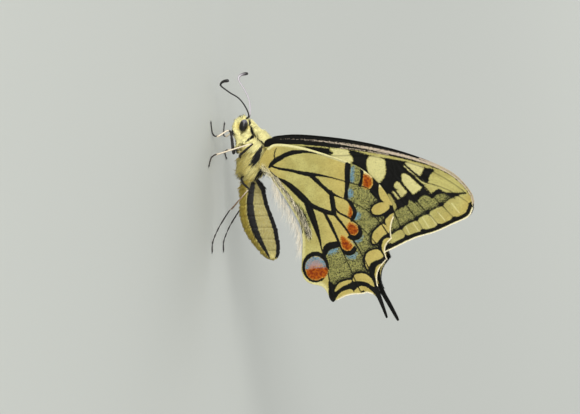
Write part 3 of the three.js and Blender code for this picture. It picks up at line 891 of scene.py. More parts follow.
def bladeMatrix(kind, side):
    # takes a wing's rear, across and out, in millimetres, to where the body carries it
    sign = sides[side]
    lean = Matrix.Rotation(math.radians(sign * wing["lean"][kind]), 4, "X")
    yaw = Matrix.Rotation(math.radians(wing["turn"][kind][side]), 4, "Y")
    spread = Matrix.Rotation(math.radians(sign * wing["spread"][kind]), 4, "Z")
    return Matrix.Translation(wing["root"][kind][side]) @ lean @ yaw @ spread


def onWing(kind, side, spots, heights):
    # from out and rear on the wing, with the height over its middle, to drawn millimetres
    rows = np.stack([spots[:, 1], sides[side] * heights, spots[:, 0]], axis=1)
    turn = np.array(bladeMatrix(kind, side))
    return rows @ turn[:3, :3].T + turn[:3, 3]


def plateRim(kind, side):
    # the closed line round the CAD plate, as rows of out and rear
    toBlade = (toFrame @ bladeMatrix(kind, side)).inverted()
    source = bmesh.new()
    source.from_mesh(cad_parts[f"{kind}_{side}"].data)
    bmesh.ops.remove_doubles(source, verts=source.verts, dist=1e-6)
    bmesh.ops.transform(source, matrix=toBlade, verts=source.verts)
    source.normal_update()
    flat = {face for face in source.faces if face.normal.y > 0.9}
    onward = {}
    for face in flat:
        for loop in face.loops:
            if not any(other in flat for other in loop.edge.link_faces if other is not face):
                onward[loop.vert] = loop.link_loop_next.vert
    start = max(onward, key=lambda vert: vert.co.z)
    rim, vert = [], start
    while not rim or vert is not start:
        rim.append((vert.co.z, vert.co.x))
        vert = onward[vert]
    source.free()
    return np.array(rim)


def roundRim(rim, perSpan=4, corner=30):
    # rounds the short straights of the plate and keeps its true corners
    onward = np.roll(rim, -1, axis=0) - rim
    heading = np.degrees(np.arctan2(onward[:, 1], onward[:, 0]))
    turned = np.abs((heading - np.roll(heading, 1) + 180) % 360 - 180)
    sharp = turned > corner
    count, line = len(rim), []
    for i in range(count):
        start, end = rim[i], rim[(i + 1) % count]
        before = 2 * start - end if sharp[i] else rim[i - 1]
        after = 2 * end - start if sharp[(i + 1) % count] else rim[(i + 2) % count]
        span = np.linalg.norm(end - start)
        leave = (end - before) * span / (np.linalg.norm(start - before) + span)
        reach = (after - start) * span / (np.linalg.norm(after - end) + span)
        for t in np.arange(perSpan) / perSpan:
            ease = 3 * t**2 - 2 * t**3
            line.append((1 - ease) * start + ease * end + t * (1 - t) ** 2 * leave + (t**3 - t**2) * reach)
    return np.array(line)


def pullIn(rim, depth):
    # moves each point of the rim inwards by its own depth
    run = unit(unit(np.roll(rim, -1, axis=0) - rim) + unit(rim - np.roll(rim, 1, axis=0)))
    inward = np.stack([-run[:, 1], run[:, 0]], axis=1)
    if not insideOf((rim + 0.05 * inward)[:1], rim)[0]:
        inward = -inward
    return rim + inward * depth[:, None]


def nearestOn(rim, places):
    # the place on the rim nearest to each of the places
    best, nearest = np.full(len(places), farOff), places.copy()
    for start, end in zip(rim, np.roll(rim, -1, axis=0)):
        spot = start + alongSpan(places, start, end)[:, None] * (end - start)
        gap = np.linalg.norm(places - spot, axis=1)
        closer = gap < best
        best[closer], nearest[closer] = gap[closer], spot[closer]
    return nearest


def sheetOver(rim, spacing):
    # an even net of small faces that fills the rim
    low, high = rim.min(0) - spacing, rim.max(0) + spacing
    steps = np.ceil((high - low) / spacing).astype(int)
    sheet = bmesh.new()
    bmesh.ops.create_grid(sheet, x_segments=int(steps[0]), y_segments=int(steps[1]), size=0.5)
    bmesh.ops.scale(sheet, vec=(*(steps * spacing), 1), verts=sheet.verts)
    bmesh.ops.translate(sheet, vec=(*(low + steps * spacing / 2), 0), verts=sheet.verts)
    centres = np.array([face.calc_center_median()[:2] for face in sheet.faces])
    outer = [face for face, kept in zip(sheet.faces, insideOf(centres, rim)) if not kept]
    bmesh.ops.delete(sheet, geom=outer, context="FACES")
    for _ in range(3):  # single-corner links would pinch the finished wing
        pinched = [v for v in sheet.verts if sum(e.is_boundary for e in v.link_edges) > 2]
        bmesh.ops.delete(sheet, geom=pinched, context="VERTS")
    edge = [vert for vert in sheet.verts if vert.is_boundary]
    for vert, spot in zip(edge, nearestOn(rim, np.array([vert.co[:2] for vert in edge]))):
        vert.co.x, vert.co.y = spot
    near = set()
    for _ in range(2):  # the two rows of places inside the edge are evened out
        near |= {e.other_vert(v) for v in (near or edge) for e in v.link_edges} - set(edge)
    for _ in range(3):
        bmesh.ops.smooth_vert(sheet, verts=list(near), factor=0.5, use_axis_x=True, use_axis_y=True)
    return sheet


def doubleSheet(sheet):
    # a second layer for the upper side, joined along the rim
    upper = sheet.verts.layers.float.new("upper")
    geometry = sheet.verts[:] + sheet.edges[:] + sheet.faces[:]
    made = bmesh.ops.extrude_face_region(sheet, geom=geometry, use_keep_orig=True)
    top = [part for part in made["geom"] if isinstance(part, bmesh.types.BMVert)]
    for vert in top:
        vert[upper] = 1.0
    bmesh.ops.translate(sheet, vec=(0, 0, wing["membrane"]), verts=top)
    bmesh.ops.recalc_face_normals(sheet, faces=sheet.faces)
    mesh = meshOf(sheet, "sheet")
    values = np.zeros(len(mesh.vertices), np.float32)
    mesh.attributes["upper"].data.foreach_get("value", values)
    return mesh, values


def rimStretch(rim, first, last):
    # the shorter way along the rim between the points nearest to first and last
    start, end = (int(np.argmin(np.linalg.norm(rim - np.array(spot), axis=1))) for spot in (first, last))
    onward = np.roll(rim, -start, axis=0)[: (end - start) % len(rim) + 1]
    back = np.roll(rim, -end, axis=0)[: (start - end) % len(rim) + 1][::-1]
    return min((onward, back), key=lambda line: runOf(line)[-1])


def toRim(place, rim, first, last):
    return lineDistance(place, rimStretch(rim, first, last))


def eyespotFields(place):
    # depths of the eyespot's black ring, rust and blue, its share of lilac, and where it lies
    spot = hindMarks["eyespot"]
    across = (place - np.array(spot["middle"])) / np.array(spot["reach"])
    radius = np.linalg.norm(across, axis=1)
    outer = (1 - radius) * np.mean(spot["reach"])
    bearing = np.degrees(np.arctan2(across[:, 1], across[:, 0]))  # 0 points outward, 90 to the rear
    opening = smooth(np.abs(bearing - spot["opening"]), 30, 14)
    lower = smooth(np.sin(np.radians(bearing)), 0.3, 0.95)
    upper = smooth(-np.sin(np.radians(bearing)), 0.1, 0.9)
    ring = spot["ring"] * (1 - 0.96 * opening) * (1 - 0.36 * lower) * (1 + 0.35 * upper)
    inner = np.where(radius < 1, outer - ring, noMark)
    height = place[:, 1] - spot["middle"][1] + 0.12 * (place[:, 0] - spot["middle"][0])
    rust = np.minimum(inner, (height + 0.3) * 0.36)
    blue = np.where(height < 0.3, np.minimum(inner, (0.62 - inner) * 0.5), noMark)
    lilac = smooth(inner, 0.0, 0.1) * smooth(height, 0.5, -0.4)
    return np.minimum(outer, ring - outer), rust, blue, lilac, radius < 1


def hindFields(place, rim):
    # depths of the marks in millimetres, and shares of the dust and the paler tints
    out = place[:, 0]
    veins = deepest(place, hindMarks["veins"], strokeDepth)
    yellow = deepest(place, hindMarks["yellow"].values(), blotDepth)
    rimBlack = np.maximum(blotDepth(place, hindMarks["rim"], 3.0), yellow + wing["spotEdge"])
    black = np.maximum(deepest(place, hindMarks["black"].values(), blotDepth), rimBlack)
    black = np.minimum(black, -yellow)
    black = np.maximum(black, deepest(place, hindMarks["blackDots"], blotDepth))
    dusted = np.maximum(blotDepth(place, hindMarks["dusted"]), np.minimum(rimBlack + 0.6, -noMark))
    dust = smooth(dusted, -0.1, 0.12) * (0.47 + 0.42 * smooth(rimBlack, -0.7, -0.05))
    dust = np.where(yellow > -0.05, 0.0, dust)
    streak = strokeDepth(place, hindMarks["hairStreak"])
    dust = np.maximum(dust, 0.8 * smooth(streak, -0.5, 0.5))

    ring, spotRust, spotBlue, lilac, inSpot = eyespotFields(place)
    rust = np.maximum(deepest(place, hindMarks["rust"], blotDepth), spotRust)
    blue = np.maximum(deepest(place, hindMarks["blue"], blotDepth), spotBlue)
    veins = np.where(inSpot, noMark, veins)
    black = np.maximum(np.maximum(black, ring), veins)

    fringe = np.maximum(
        0.28 - toRim(place, rim, (23.5, 8.7), (20.9, 23.4)),
        0.3 - toRim(place, rim, (20.2, 23.7), (13.0, 24.4)),
    )
    toTail = np.linalg.norm(place - np.array(hindMarks["tailRoot"]), axis=1)
    fringe = np.minimum(fringe, toTail - 1.6)
    innerEdge = toRim(place, rim, (6.7, 16.2), (1.6, 3.0))
    cream = 0.6 * smooth(0.45 - np.minimum(innerEdge, 5), -0.3, 0.3)
    cream = np.maximum(cream, 0.8 * smooth(blotDepth(place, hindMarks["lobe"]), -0.6, 0.2))
    # painted highlight: a pale line along the front edge
    frontEdge = toRim(place, rim, (0.5, -3.4), (20.7, 3.1))
    cream = np.maximum(cream, 0.9 * smooth(0.4 - frontEdge, -0.15, 0.1))
    cream = np.maximum(cream, smooth(fringe, -0.05, 0.1))
    black = np.where(fringe > 0, np.minimum(black, -fringe), black)
    warm = 0.5 * np.maximum(smooth(out, 8.0, 14.5), smooth(out, 4.5, 1.0)) * (dust < 0.1)
    nothing = np.zeros(len(place))
    return {"black": black, "dust": dust, "blue": blue, "rust": rust, "cream": cream, "warm": warm,
            "lilac": lilac, "costaSheen": nothing, "ragged": nothing + 0.13}


costa = {  # by distance out: ends of the black edge, the pinkish stripe of painted sheen and the black under it
    "out": (0.0, 5.0, 10.0, 14.0, 18.0, 22.0, 26.0, 30.0, 36.0),
    "edge": (0.3, 0.42, 0.42, 0.4, 0.34, 0.26, 0.12, 0.0, 0.0),
    "costaSheen": (0.3, 0.52, 0.64, 0.74, 0.8, 0.78, 0.58, 0.36, 0.2),
    "under": (1.3, 1.45, 1.5, 1.55, 1.4, 1.2, 0.96, 0.62, 0.36),
    "strength": (0.0, 0.35, 0.6, 0.75, 0.9, 1.0, 1.05, 1.05, 1.05),
}


def costaFields(place, rim, black):
    # black with the front edge's lines in it, the share of painted sheen, and the distance from that edge
    out = place[:, 0]
    edge = toRim(place, rim, (0.6, -0.7), (38.4, 11.0))
    rows = {name: np.interp(out, costa["out"], costa[name]) for name in costa if name != "out"}
    costaSheen = np.minimum(edge - rows["edge"], rows["costaSheen"] - edge)
    topBlack = np.where(rows["edge"] > 0.02, rows["edge"] - edge, noMark)
    lower = np.minimum(edge - rows["costaSheen"], rows["under"] - edge)
    lower = np.where(out > 24, lower - 0.02 * (out - 24) / 6, lower)
    lower = np.maximum(lower, noMark)
    black = np.where(edge < rows["under"], np.maximum(topBlack, lower), black)
    black = np.where((costaSheen > -0.08) & (out < 30), 0.3, black)
    # painted glints along a thin line in the black under the sheen stripe
    sheenDots = np.minimum(edge - rows["under"] + 0.3, rows["under"] - 0.12 - edge)
    sheenDots = np.where((out > 14) & (out < 23), sheenDots, noMark)
    costaSheenShare = np.maximum(smooth(costaSheen, -0.06, 0.06) * rows["strength"], 0.7 * smooth(sheenDots, -0.06, 0.06))
    return black, costaSheenShare, edge


def foreFields(place, rim):
    out = place[:, 0]
    veins = deepest(place, foreMarks["veins"], strokeDepth)
    margin = toRim(place, rim, *wing["margin"]["forewing"])
    nearVein = smooth(veins, -0.8, 0.05) ** 2  # the border's black lines swell where a vein meets them
    veins = veins - 0.16 * smooth(margin, 3.2, 2.6)  # thin out over the yellow spots of the margin
    ground = deepest(place, foreMarks["black"].values(), blotDepth)
    yellow = deepest(place, foreMarks["yellow"].values(), blotDepth)
    black = np.minimum(ground, -yellow)
    black = np.maximum(black, strokeDepth(place, foreMarks["submargin"]) + 0.3 * nearVein - 0.08)
    black = np.maximum(black, veins)
    border = 0.98 + 0.34 * nearVein
    outerBand = np.minimum(margin - 0.3, border - margin)
    black = np.where(margin < 3.0, np.maximum(black, outerBand), black)
    black = np.where(margin < border, outerBand, black)
    black, costaSheen, edge = costaFields(place, rim, black)

    dusted = blotDepth(place, foreMarks["dusted"], 3.0)
    toLine = strokeDepth(place, foreMarks["submargin"], 3.0)
    dust = smooth(dusted, -0.15, 0.15) * (0.42 + 0.45 * smooth(toLine, -0.6, 0.0))
    dust = np.maximum(dust, 0.45 * smooth(out, 12, 5) * smooth(edge, 1.2, 2.0))
    dust = np.maximum(dust, 0.8 * smooth(strokeDepth(place, foreMarks["shaded"], 2.0), -0.8, 0.4))
    dust = np.where(yellow > -0.05, 0.0, dust)
    cream = smooth(0.32 - margin, -0.04, 0.08)
    for name, share in foreMarks["paler"].items():
        cream = np.maximum(cream, share * smooth(blotDepth(place, foreMarks["yellow"][name]), -0.1, 0.25))
    # painted highlights along the folds
    toCrease = np.min([lineDistance(place, np.array(line, float)) for line in foreMarks["creases"]], axis=0)
    cream = np.maximum(cream, 0.55 * smooth(toCrease, 0.16, 0.03) * (margin > 1.0))
    warm = 0.5 * smooth(out, 30, 37) * smooth(margin, 3.4, 1.2)
    ragged = 0.13 + 0.12 * smooth(out, 8, 13) * smooth(margin, 0.9, 1.3)
    empty = np.full(len(place), noMark)
    return {"black": black, "dust": dust, "blue": empty, "rust": empty, "cream": cream, "warm": warm,
            "lilac": np.zeros(len(place)), "costaSheen": costaSheen, "ragged": ragged}


fieldsOf = {"forewing": foreFields, "hindwing": hindFields}


def toVeins(kind, place):
    lines = [smoothLine(vein)[:, :2] for vein in marksOf[kind]["veins"]]
    return np.min([lineDistance(place, line) for line in lines], axis=0)


def wingRelief(kind, place, rimDepth, toVein):
    # height of the middle of the membrane towards the underside, and half its thickness
    out, rear = place.T
    middle = wing["cellPuff"] * smooth(toVein, 0.0, 1.5)
    middle += wing["wave"] * np.sin(0.22 * out + 0.4) * np.sin(0.17 * rear + 1.1)
    middle += 0.12 if kind == "forewing" else -0.15 - 0.22 * smooth(out, 8, 20)
    half = (wing["rimMembrane"] + (wing["membrane"] - wing["rimMembrane"]) * smooth(rimDepth, 0, 0.8)) / 2
    return middle, half + wing["veinHeight"] * ridge(toVein, wing["veinWidth"]) * smooth(rimDepth, 0.05, 0.5)


def mapWing(mesh, place, upper):
    # the underside fills the lower half of the map and the upper side the other
    low, high = place.min(0), place.max(0)
    out, rear = ((place - low) / (high - low).max()).T
    flat = np.stack([onMap(out), 0.01 + 0.48 * rear + 0.5 * (upper > 0.5)], axis=1)
    corners = np.empty(len(mesh.loops), np.int32)
    mesh.loops.foreach_get("vertex_index", corners)
    storeMap(mesh, flat[corners])


def buildWing(kind, side, material):
    # returns the rim, which the fringe follows
    rim = roundRim(plateRim(kind, side))
    toFringe = toRim(rim, rim, *wing["margin"][kind])
    inner = pullIn(rim, wing["fringeDepth"] * smooth(toFringe, 0.8, 0.0))
    mesh, upper = doubleSheet(sheetOver(inner, wing["spacing"]))
    place = readPlaces(mesh)[:, :2]
    toVein = toVeins(kind, place)
    middle, half = wingRelief(kind, place, lineDistance(place, closedLine(inner)), toVein)
    writePlaces(mesh, onWing(kind, side, place, middle + np.where(upper > 0.5, -half, half)))
    if side == "right":  # the right wing is the left one's mirror image
        mesh.flip_normals()
    fields = fieldsOf[kind](place, rim)
    # the upper side's front edge is black but for its end
    dark = (upper > 0.5) & (place[:, 0] < wing["upperEdgeEnd"])
    black = fields["black"] + wing["upperBlack"] * upper
    fields["black"] = np.where(dark & (fields["costaSheen"] > 0.02), 0.3, black)
    fields["costaSheen"] = np.where(dark, 0, fields["costaSheen"])
    extra = wing["upperDust"] * upper * (fields["dust"] > 0.05)
    fields["dust"] = np.clip(fields["dust"] + extra, 0, 1)
    fields["shade"] = ridge(toVein, wing["veinShade"])
    for name, values in fields.items():
        storeValues(mesh, name, values)
    apart = 7.0 * upper + 3.0 * (side == "right")  # upper, under, left and right sides differ in scales
    rows = np.stack([place[:, 0], place[:, 1], apart], axis=1)
    scaleRows = mesh.attributes.new("scaleRows", "FLOAT_VECTOR", "POINT")
    scaleRows.data.foreach_set("vector", rows.astype(np.float32).ravel())
    mapWing(mesh, place, upper)
    piece = finishPiece(f"wing_{kind}_{side}", mesh, material, [f"{kind}_{side}"])
    print(piece.name, len(mesh.polygons), "faces")
    return rim


# the body's skin and the marks that skin and coat share

trunk = {
    "flesh": ["head", "neck", "thorax", "abdomen", "palp_left", "palp_right",
              "front_left_coxa", "front_right_coxa"],
    "swell": 0.2,
    "voxel": 0.13,
    "smoothing": 8,
    "coatDepth": {"head": 0.36, "palp": 0.34, "neck": 0.35, "thorax": 0.8, "abdomen": 0.3, "coxa": 0.25},
    "backDepth": -0.3,  # the short hair over the neck needs less room
    "crease": 0.09,
    "segment": 2.1,
    "waist": 5.7,
    "abdomenLength": 14.7,
    "abdomenWidth": 2.2,
    "abdomenMiddle": [(5.7, 6.6), (6.1, 6.65), (7.3, 6.7), (10.0, 6.95), (12.0, 7.35), (14.2, 8.05),
                      (16.4, 8.85), (18.2, 9.6), (19.8, 10.1), (20.4, 10.4)],
    "abdomenReach": [(5.7, 0.4), (6.1, 1.75), (7.3, 2.4), (10.0, 2.85), (12.0, 3.2), (14.2, 3.35),
                     (16.4, 3.0), (18.2, 2.4), (19.8, 1.35), (20.4, 0.4)],
    "bodyMiddle": [(-6.2, 4.6), (-4.4, 4.7), (-2.5, 5.6), (0.1, 7.2), (3.7, 6.6), (6.0, 6.7), (10.0, 6.95),
                   (14.2, 8.05), (20.4, 10.4)],
    # soft parts that close the gaps between the solids: middle and reach
    "bridges": [
        ((-2.3, 0.0, 4.5), (1.1, 1.5, 0.9)), ((-2.5, 0.0, 4.0), (1.3, 1.75, 1.15)),
        ((-1.2, 0.0, 4.4), (1.6, 1.7, 1.05)), ((5.6, 0.0, 6.5), (1.3, 1.5, 1.9)),
        ((-3.1, 0.0, 5.9), (0.9, 1.5, 0.9)), ((-2.5, 0.0, 5.4), (1.0, 1.75, 1.0)),
        ((-1.8, 0.0, 4.9), (1.1, 1.95, 1.0)), ((-2.1, 0.0, 6.5), (1.3, 1.75, 1.3)),
        ((-1.0, 0.0, 6.0), (1.2, 1.75, 1.3)), ((-3.8, 0.0, 7.05), (0.95, 1.85, 0.85)),
        ((-4.6, 0.0, 6.0), (1.0, 1.5, 0.8)), ((-3.3, 0.0, 7.2), (1.1, 1.95, 1.2)),
    ],
}

bodyMarks = {
    # strokes on the flank as [x, z] with a width
    "blackLines": [
        [(-5.8, 5.8, 0.45), (-5.3, 6.1, 0.55), (-4.8, 6.3, 0.6), (-4.3, 6.4, 0.6), (-3.7, 6.6, 0.65),
         (-2.85, 6.95, 0.9), (-2.35, 6.75, 0.8), (-1.95, 6.25, 0.6), (-1.6, 5.75, 0.4)],
        [(-2.9, 7.0, 0.6), (-2.3, 7.5, 0.45), (-1.65, 8.35, 0.35), (-1.1, 9.0, 0.5)],
        [(-3.7, 3.0, 0.3), (-3.1, 3.2, 0.35), (-2.5, 3.55, 0.3)],
        [(-0.2, 8.3, 0.5), (0.5, 8.0, 1.0), (1.4, 7.6, 1.2), (2.4, 7.0, 1.0), (2.9, 6.6, 0.4)],
        [(3.2, 8.7, 0.6), (4.2, 8.2, 0.9), (5.2, 7.7, 1.0), (6.2, 7.3, 1.0), (7.0, 7.0, 0.9)],
        [(3.2, 8.9, 0.5), (4.6, 8.9, 0.8), (6.0, 8.9, 0.8)],
    ],
    "greyLines": [[(-3.5, 5.1, 0.2), (-3.1, 4.85, 0.35), (-2.7, 4.6, 0.2)],
                  [(-1.2, 5.0, 0.1), (-0.4, 4.6, 0.3), (0.6, 4.2, 0.2)]],
    "yellowCrescent": [(-4.9, 5.9, 0.12), (-4.5, 5.96, 0.24), (-4.0, 5.9, 0.3), (-3.45, 5.5, 0.22)],
    "yellowFace": (-4.35, 4.2),
    "shoulderTuft": (-1.0, 7.5),
    # hair parts along this line: forwards over the neck above it, down the flank below it
    "parting": [(-2.9, 6.6), (-1.0, 9.1)],
    # the abdomen's stripes by the share of its length: degrees round it from the middle of the back
    "backStripe": [(0.0, 44), (0.2, 36), (0.6, 36), (1.0, 32)],
    "sideStripeTop": [(0.0, 52), (0.12, 74), (0.25, 86), (0.6, 93), (1.0, 92)],
    "sideStripeLow": [(0.0, 92), (0.12, 108), (0.25, 117), (0.6, 121), (1.0, 118)],
    "stripesEnd": 0.955,
    "stripeRadius": 2.4,
}


def readOff(table, value):
    return np.interp(value, *np.array(table, float).T)


def regionOf(place):
    # shares of head, palp, neck, thorax, abdomen and coxa at each place
    x, _, z = place.T
    abdomen = smooth(x, 5.2, 5.9)
    palp = smooth(z, 4.1, 3.6) * smooth(x, -2.3, -3.0)
    head = smooth(x + 0.7 * (z - 5.0), -2.2, -2.7) * smooth(z, 6.5, 6.1) * (1 - palp)
    coxa = smooth(z - 0.45 * x, 5.15, 4.8) * smooth(x, 0.4, 0.0) * (1 - palp) * (1 - head)
    throat = smooth(x, -0.4, -1.4) * smooth(z, 6.4, 5.9)
    neck = np.maximum(smooth(x, -2.2, -2.8) * smooth(z, 7.1, 6.8), throat)
    neck = neck * (1 - head) * (1 - palp) * (1 - coxa)
    thorax = np.clip(1 - abdomen - palp - head - coxa - neck, 0, 1)
    return {"head": head, "palp": palp, "neck": neck, "thorax": thorax, "abdomen": abdomen, "coxa": coxa}


def mixed(region, values):
    # one value for each region, blended by the regions' shares
    return sum(region[name] * values[name] for name in region)


def forwardShare(place):
    # how far the hair lies forwards over the neck instead of back along the flank
    first, last = np.array(bodyMarks["parting"])
    across = np.array([first[1] - last[1], last[0] - first[0]]) / np.linalg.norm(last - first)
    return smooth((place[:, [0, 2]] - first) @ across, -0.15, 0.2)


def abdomenAngle(place):
    # degrees round the abdomen from the middle of the back, and how far along it
    x, y, z = place.T
    up = (z - readOff(trunk["abdomenMiddle"], x)) / readOff(trunk["abdomenReach"], x)
    out = np.abs(y) / trunk["abdomenWidth"]
    return np.degrees(np.arctan2(out, up)), np.clip((x - trunk["waist"]) / trunk["abdomenLength"], 0, 1)


def toSegmentJoint(x):
    # the distance along the abdomen to the nearest joint between segments
    position = (x - trunk["waist"]) / trunk["segment"]
    return np.abs(position - np.round(position)) * trunk["segment"]


def abdomenStripes(angle, along):
    perDegree = math.radians(bodyMarks["stripeRadius"])
    top, low = (readOff(bodyMarks[name], along) for name in ("sideStripeTop", "sideStripeLow"))
    back = (readOff(bodyMarks["backStripe"], along) - angle) * perDegree
    stripes = np.maximum(back, np.minimum(angle - top, low - angle) * perDegree)
    stripes = np.minimum(stripes, (bodyMarks["stripesEnd"] - along) * trunk["abdomenLength"])
    return np.clip(stripes, noMark, -noMark)


def markBody(place):
    # depth of black in millimetres, then shares of ochre, yellow and grey
    x, y, z = place.T
    flank, aside = place[:, [0, 2]], np.abs(y)
    black = deepest(flank, bodyMarks["blackLines"], strokeDepth)
    black = np.where(aside < 0.35, np.minimum(black, aside - 0.5), black)
    crescent = strokeDepth(flank, bodyMarks["yellowCrescent"])
    black = np.where(aside > 0.6, np.minimum(black, -crescent), black)
    backLine = np.where((z > 8.4) & (x > -1.5), 0.35 - aside, noMark)
    black = np.maximum(black, backLine)

    angle, along = abdomenAngle(place)
    abdomen = x > 5.5
    black = np.where(abdomen, abdomenStripes(angle, along), black)
    belly = np.where(abdomen, smooth(angle, 112, 128), 0.6 * smooth(z, 6.2, 4.6) * smooth(x, -1.2, 0.6))
    ochre = np.maximum(belly, 0.8 * smooth(along, 0.93, 0.98) * abdomen)
    yellow = 0.55 * smooth(crescent, -0.1, 0.1) * (aside > 0.6)
    face = np.linalg.norm(flank - np.array(bodyMarks["yellowFace"]), axis=1)
    yellow = np.maximum(yellow, 0.7 * smooth(face, 0.9, 0.35) * smooth(aside, 0.5, 1.0))
    ring = smooth(toSegmentJoint(x), 0.14, 0.03) * abdomen * (angle < 120) * (along > 0.2) * (along < 0.97)
    band = abdomen * (angle < 116) * smooth(along, 0.97, 0.85) * (0.64 + 0.2 * smooth(along, 0.35, 0.05))
    lines = smooth(deepest(flank, bodyMarks["greyLines"], strokeDepth), -0.15, 0.1)
    grey = np.max([0.8 * ring, band, 0.8 * lines], axis=0)
    return {"black": black, "ochre": ochre, "yellow": yellow, "grey": grey}


def addFlesh(body, name):
    # one CAD solid, swollen a little so that it meets its neighbours
    part = bmesh.new()
    part.from_mesh(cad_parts[name].data)
    bmesh.ops.transform(part, matrix=toFrame.inverted(), verts=part.verts)
    bmesh.ops.remove_doubles(part, verts=part.verts, dist=0.001)
    if name == "head":  # the hull closes the hollows cut for eyes, palps and tongue
        hull = bmesh.ops.convex_hull(part, input=part.verts)
        inner = set(part.faces) - {f for f in hull["geom"] if isinstance(f, bmesh.types.BMFace)}
        bmesh.ops.delete(part, geom=list(inner), context="FACES")
    bmesh.ops.recalc_face_normals(part, faces=part.faces)
    sinkAlongNormals(part, [-trunk["swell"]] * len(part.verts))
    swollen = meshOf(part, "part")
    body.from_mesh(swollen)
    bpy.data.meshes.remove(swollen)


def remeshed(body):
    draft = addObject("skinDraft", meshOf(body, "skinDraft"))
    remesh = draft.modifiers.new("remesh", "REMESH")
    remesh.mode = "VOXEL"
    remesh.voxel_size = trunk["voxel"]
    even = draft.modifiers.new("even", "SMOOTH")
    even.iterations = trunk["smoothing"]
    skin = bpy.data.meshes.new_from_object(draft.evaluated_get(bpy.context.evaluated_depsgraph_get()))
    bpy.data.objects.remove(draft)
    return skin


def buildSkin():
    body = bmesh.new()
    for name in trunk["flesh"]:
        addFlesh(body, name)
    for middle, reach in trunk["bridges"]:
        ball = bmesh.ops.create_icosphere(body, subdivisions=4, radius=1.0)["verts"]
        bmesh.ops.scale(body, vec=reach, verts=ball)
        bmesh.ops.translate(body, vec=middle, verts=ball)
    skin = remeshed(body)
    shaped = bmesh.new()
    shaped.from_mesh(skin)
    for _ in range(2):  # half of the coat's depth at a time, evened out after each
        place = np.array([vert.co for vert in shaped.verts])
        region = regionOf(place)
        depth = mixed(region, trunk["coatDepth"]) + trunk["swell"]
        nape = 1 + 0.4 * smooth(place[:, 0], -3.3, -4.2)
        depth += trunk["backDepth"] * nape * forwardShare(place) * region["thorax"]
        sinkAlongNormals(shaped, depth / 2)
        bmesh.ops.smooth_vert(shaped, verts=shaped.verts, factor=0.5,
                              use_axis_x=True, use_axis_y=True, use_axis_z=True)
    place = np.array([vert.co for vert in shaped.verts])
    _, along = abdomenAngle(place)
    crease = trunk["crease"] * smooth(toSegmentJoint(place[:, 0]), 0.3, 0.0)
    sinkAlongNormals(shaped, crease * (along > 0.1) * (along < 0.96))
    shaped.to_mesh(skin)
    shaped.free()
    for name, values in markBody(readPlaces(skin)).items():
        storeValues(skin, name, values)
    return skin


# coat

coat = {
    "seed": 7,
    "perPiece": 19000,
    "density": {"thorax": 235, "head": 400, "neck": 330, "palp": 400, "coxa": 340, "abdomen": 150},
    "denserForward": 150,
    "thickness": {"headCoat": 0.021, "thoraxCoat": 0.023, "abdomenCoat": 0.025},
    "clumpEvery": {"headCoat": 7, "thoraxCoat": 13, "abdomenCoat": 7},
    "clumpPull": {"headCoat": 0.55, "thoraxCoat": 0.75, "abdomenCoat": 0.5},
    "clumpReach": 0.5,
    "unruly": 0.2,
    "darkShare": 0.2,
    "shoulder": (-2.4, 7.15),
    "brow": (-5.6, 4.8, 0.75),  # where the crest starts, its height and half its depth
    "crestShare": 0.45,
    "eyeReach": (1.16, 0.9, 0.88),
    "tuftSoftness": 0.45,
    "patchWidth": 0.003,
}


def tuftShape():
    # one tuft: a three-sided spike with a bend in the middle, 1 long and 1 in radius at the root
    spike = bmesh.new()
    bmesh.ops.create_cone(spike, cap_ends=True, segments=3, radius1=1.0, radius2=0.0, depth=1.0)
    bmesh.ops.translate(spike, vec=(0, 0, 0.5), verts=spike.verts)
    bmesh.ops.remove_doubles(spike, verts=spike.verts, dist=0.001)
    geometry = spike.verts[:] + spike.edges[:] + spike.faces[:]
    bmesh.ops.bisect_plane(spike, geom=geometry, dist=0.0001, plane_co=(0, 0, 0.5), plane_no=(0, 0, 1))
    waist = [vert for vert in spike.verts if 0.4 < vert.co.z < 0.6]
    bmesh.ops.scale(spike, vec=(1.5, 1.5, 1.0), verts=waist)
    bmesh.ops.triangulate(spike, faces=spike.faces)
    bmesh.ops.recalc_face_normals(spike, faces=spike.faces)
    spike.verts.index_update()
    places = np.array([vert.co for vert in spike.verts])
    faces = np.array([[vert.index for vert in face.verts] for face in spike.faces])
    spike.free()
    return places, faces


tuftPlaces, tuftFaces = tuftShape()


def scatterOn(mesh, perArea, rng):
    # random places on a mesh, with its normal there; perArea gives how many for each square millimetre
    mesh.calc_loop_triangles()
    corners = np.empty(len(mesh.loop_triangles) * 3, np.int32)
    mesh.loop_triangles.foreach_get("vertices", corners)
    corners = corners.reshape(-1, 3)
    places, normals = readPlaces(mesh), readRows(mesh.vertices, "normal")
    a, b, c = (places[corners[:, k]] for k in range(3))
    area = np.linalg.norm(np.cross(b - a, c - a), axis=1) / 2
    counts = rng.poisson(area * perArea((a + b + c) / 3))
    chosen = np.repeat(np.arange(len(corners)), counts)
    first, second = np.sqrt(rng.random(len(chosen))), rng.random(len(chosen))
    weights = np.stack([1 - first, first * (1 - second), first * second], axis=1)
    roots = sum(weights[:, k, None] * places[corners[chosen, k]] for k in range(3))
    facing = unit(sum(weights[:, k, None] * normals[corners[chosen, k]] for k in range(3)))
    return roots, facing


def clumpTips(roots, tips, every, pull):
    # draws the tips of neighbouring tufts together
    leaders = np.arange(0, len(roots), every)
    tree = kdtree.KDTree(len(leaders))
    for order, index in enumerate(leaders):
        tree.insert(roots[index], order)
    tree.balance()
    chosen = np.array([tree.find(root)[1] for root in roots])
    target = tips[leaders[chosen]]
    apart = np.linalg.norm(roots - roots[leaders[chosen]], axis=1)
    share = pull * ridge(apart, coat["clumpReach"])
    return tips + (target - tips) * share[:, None], chosen


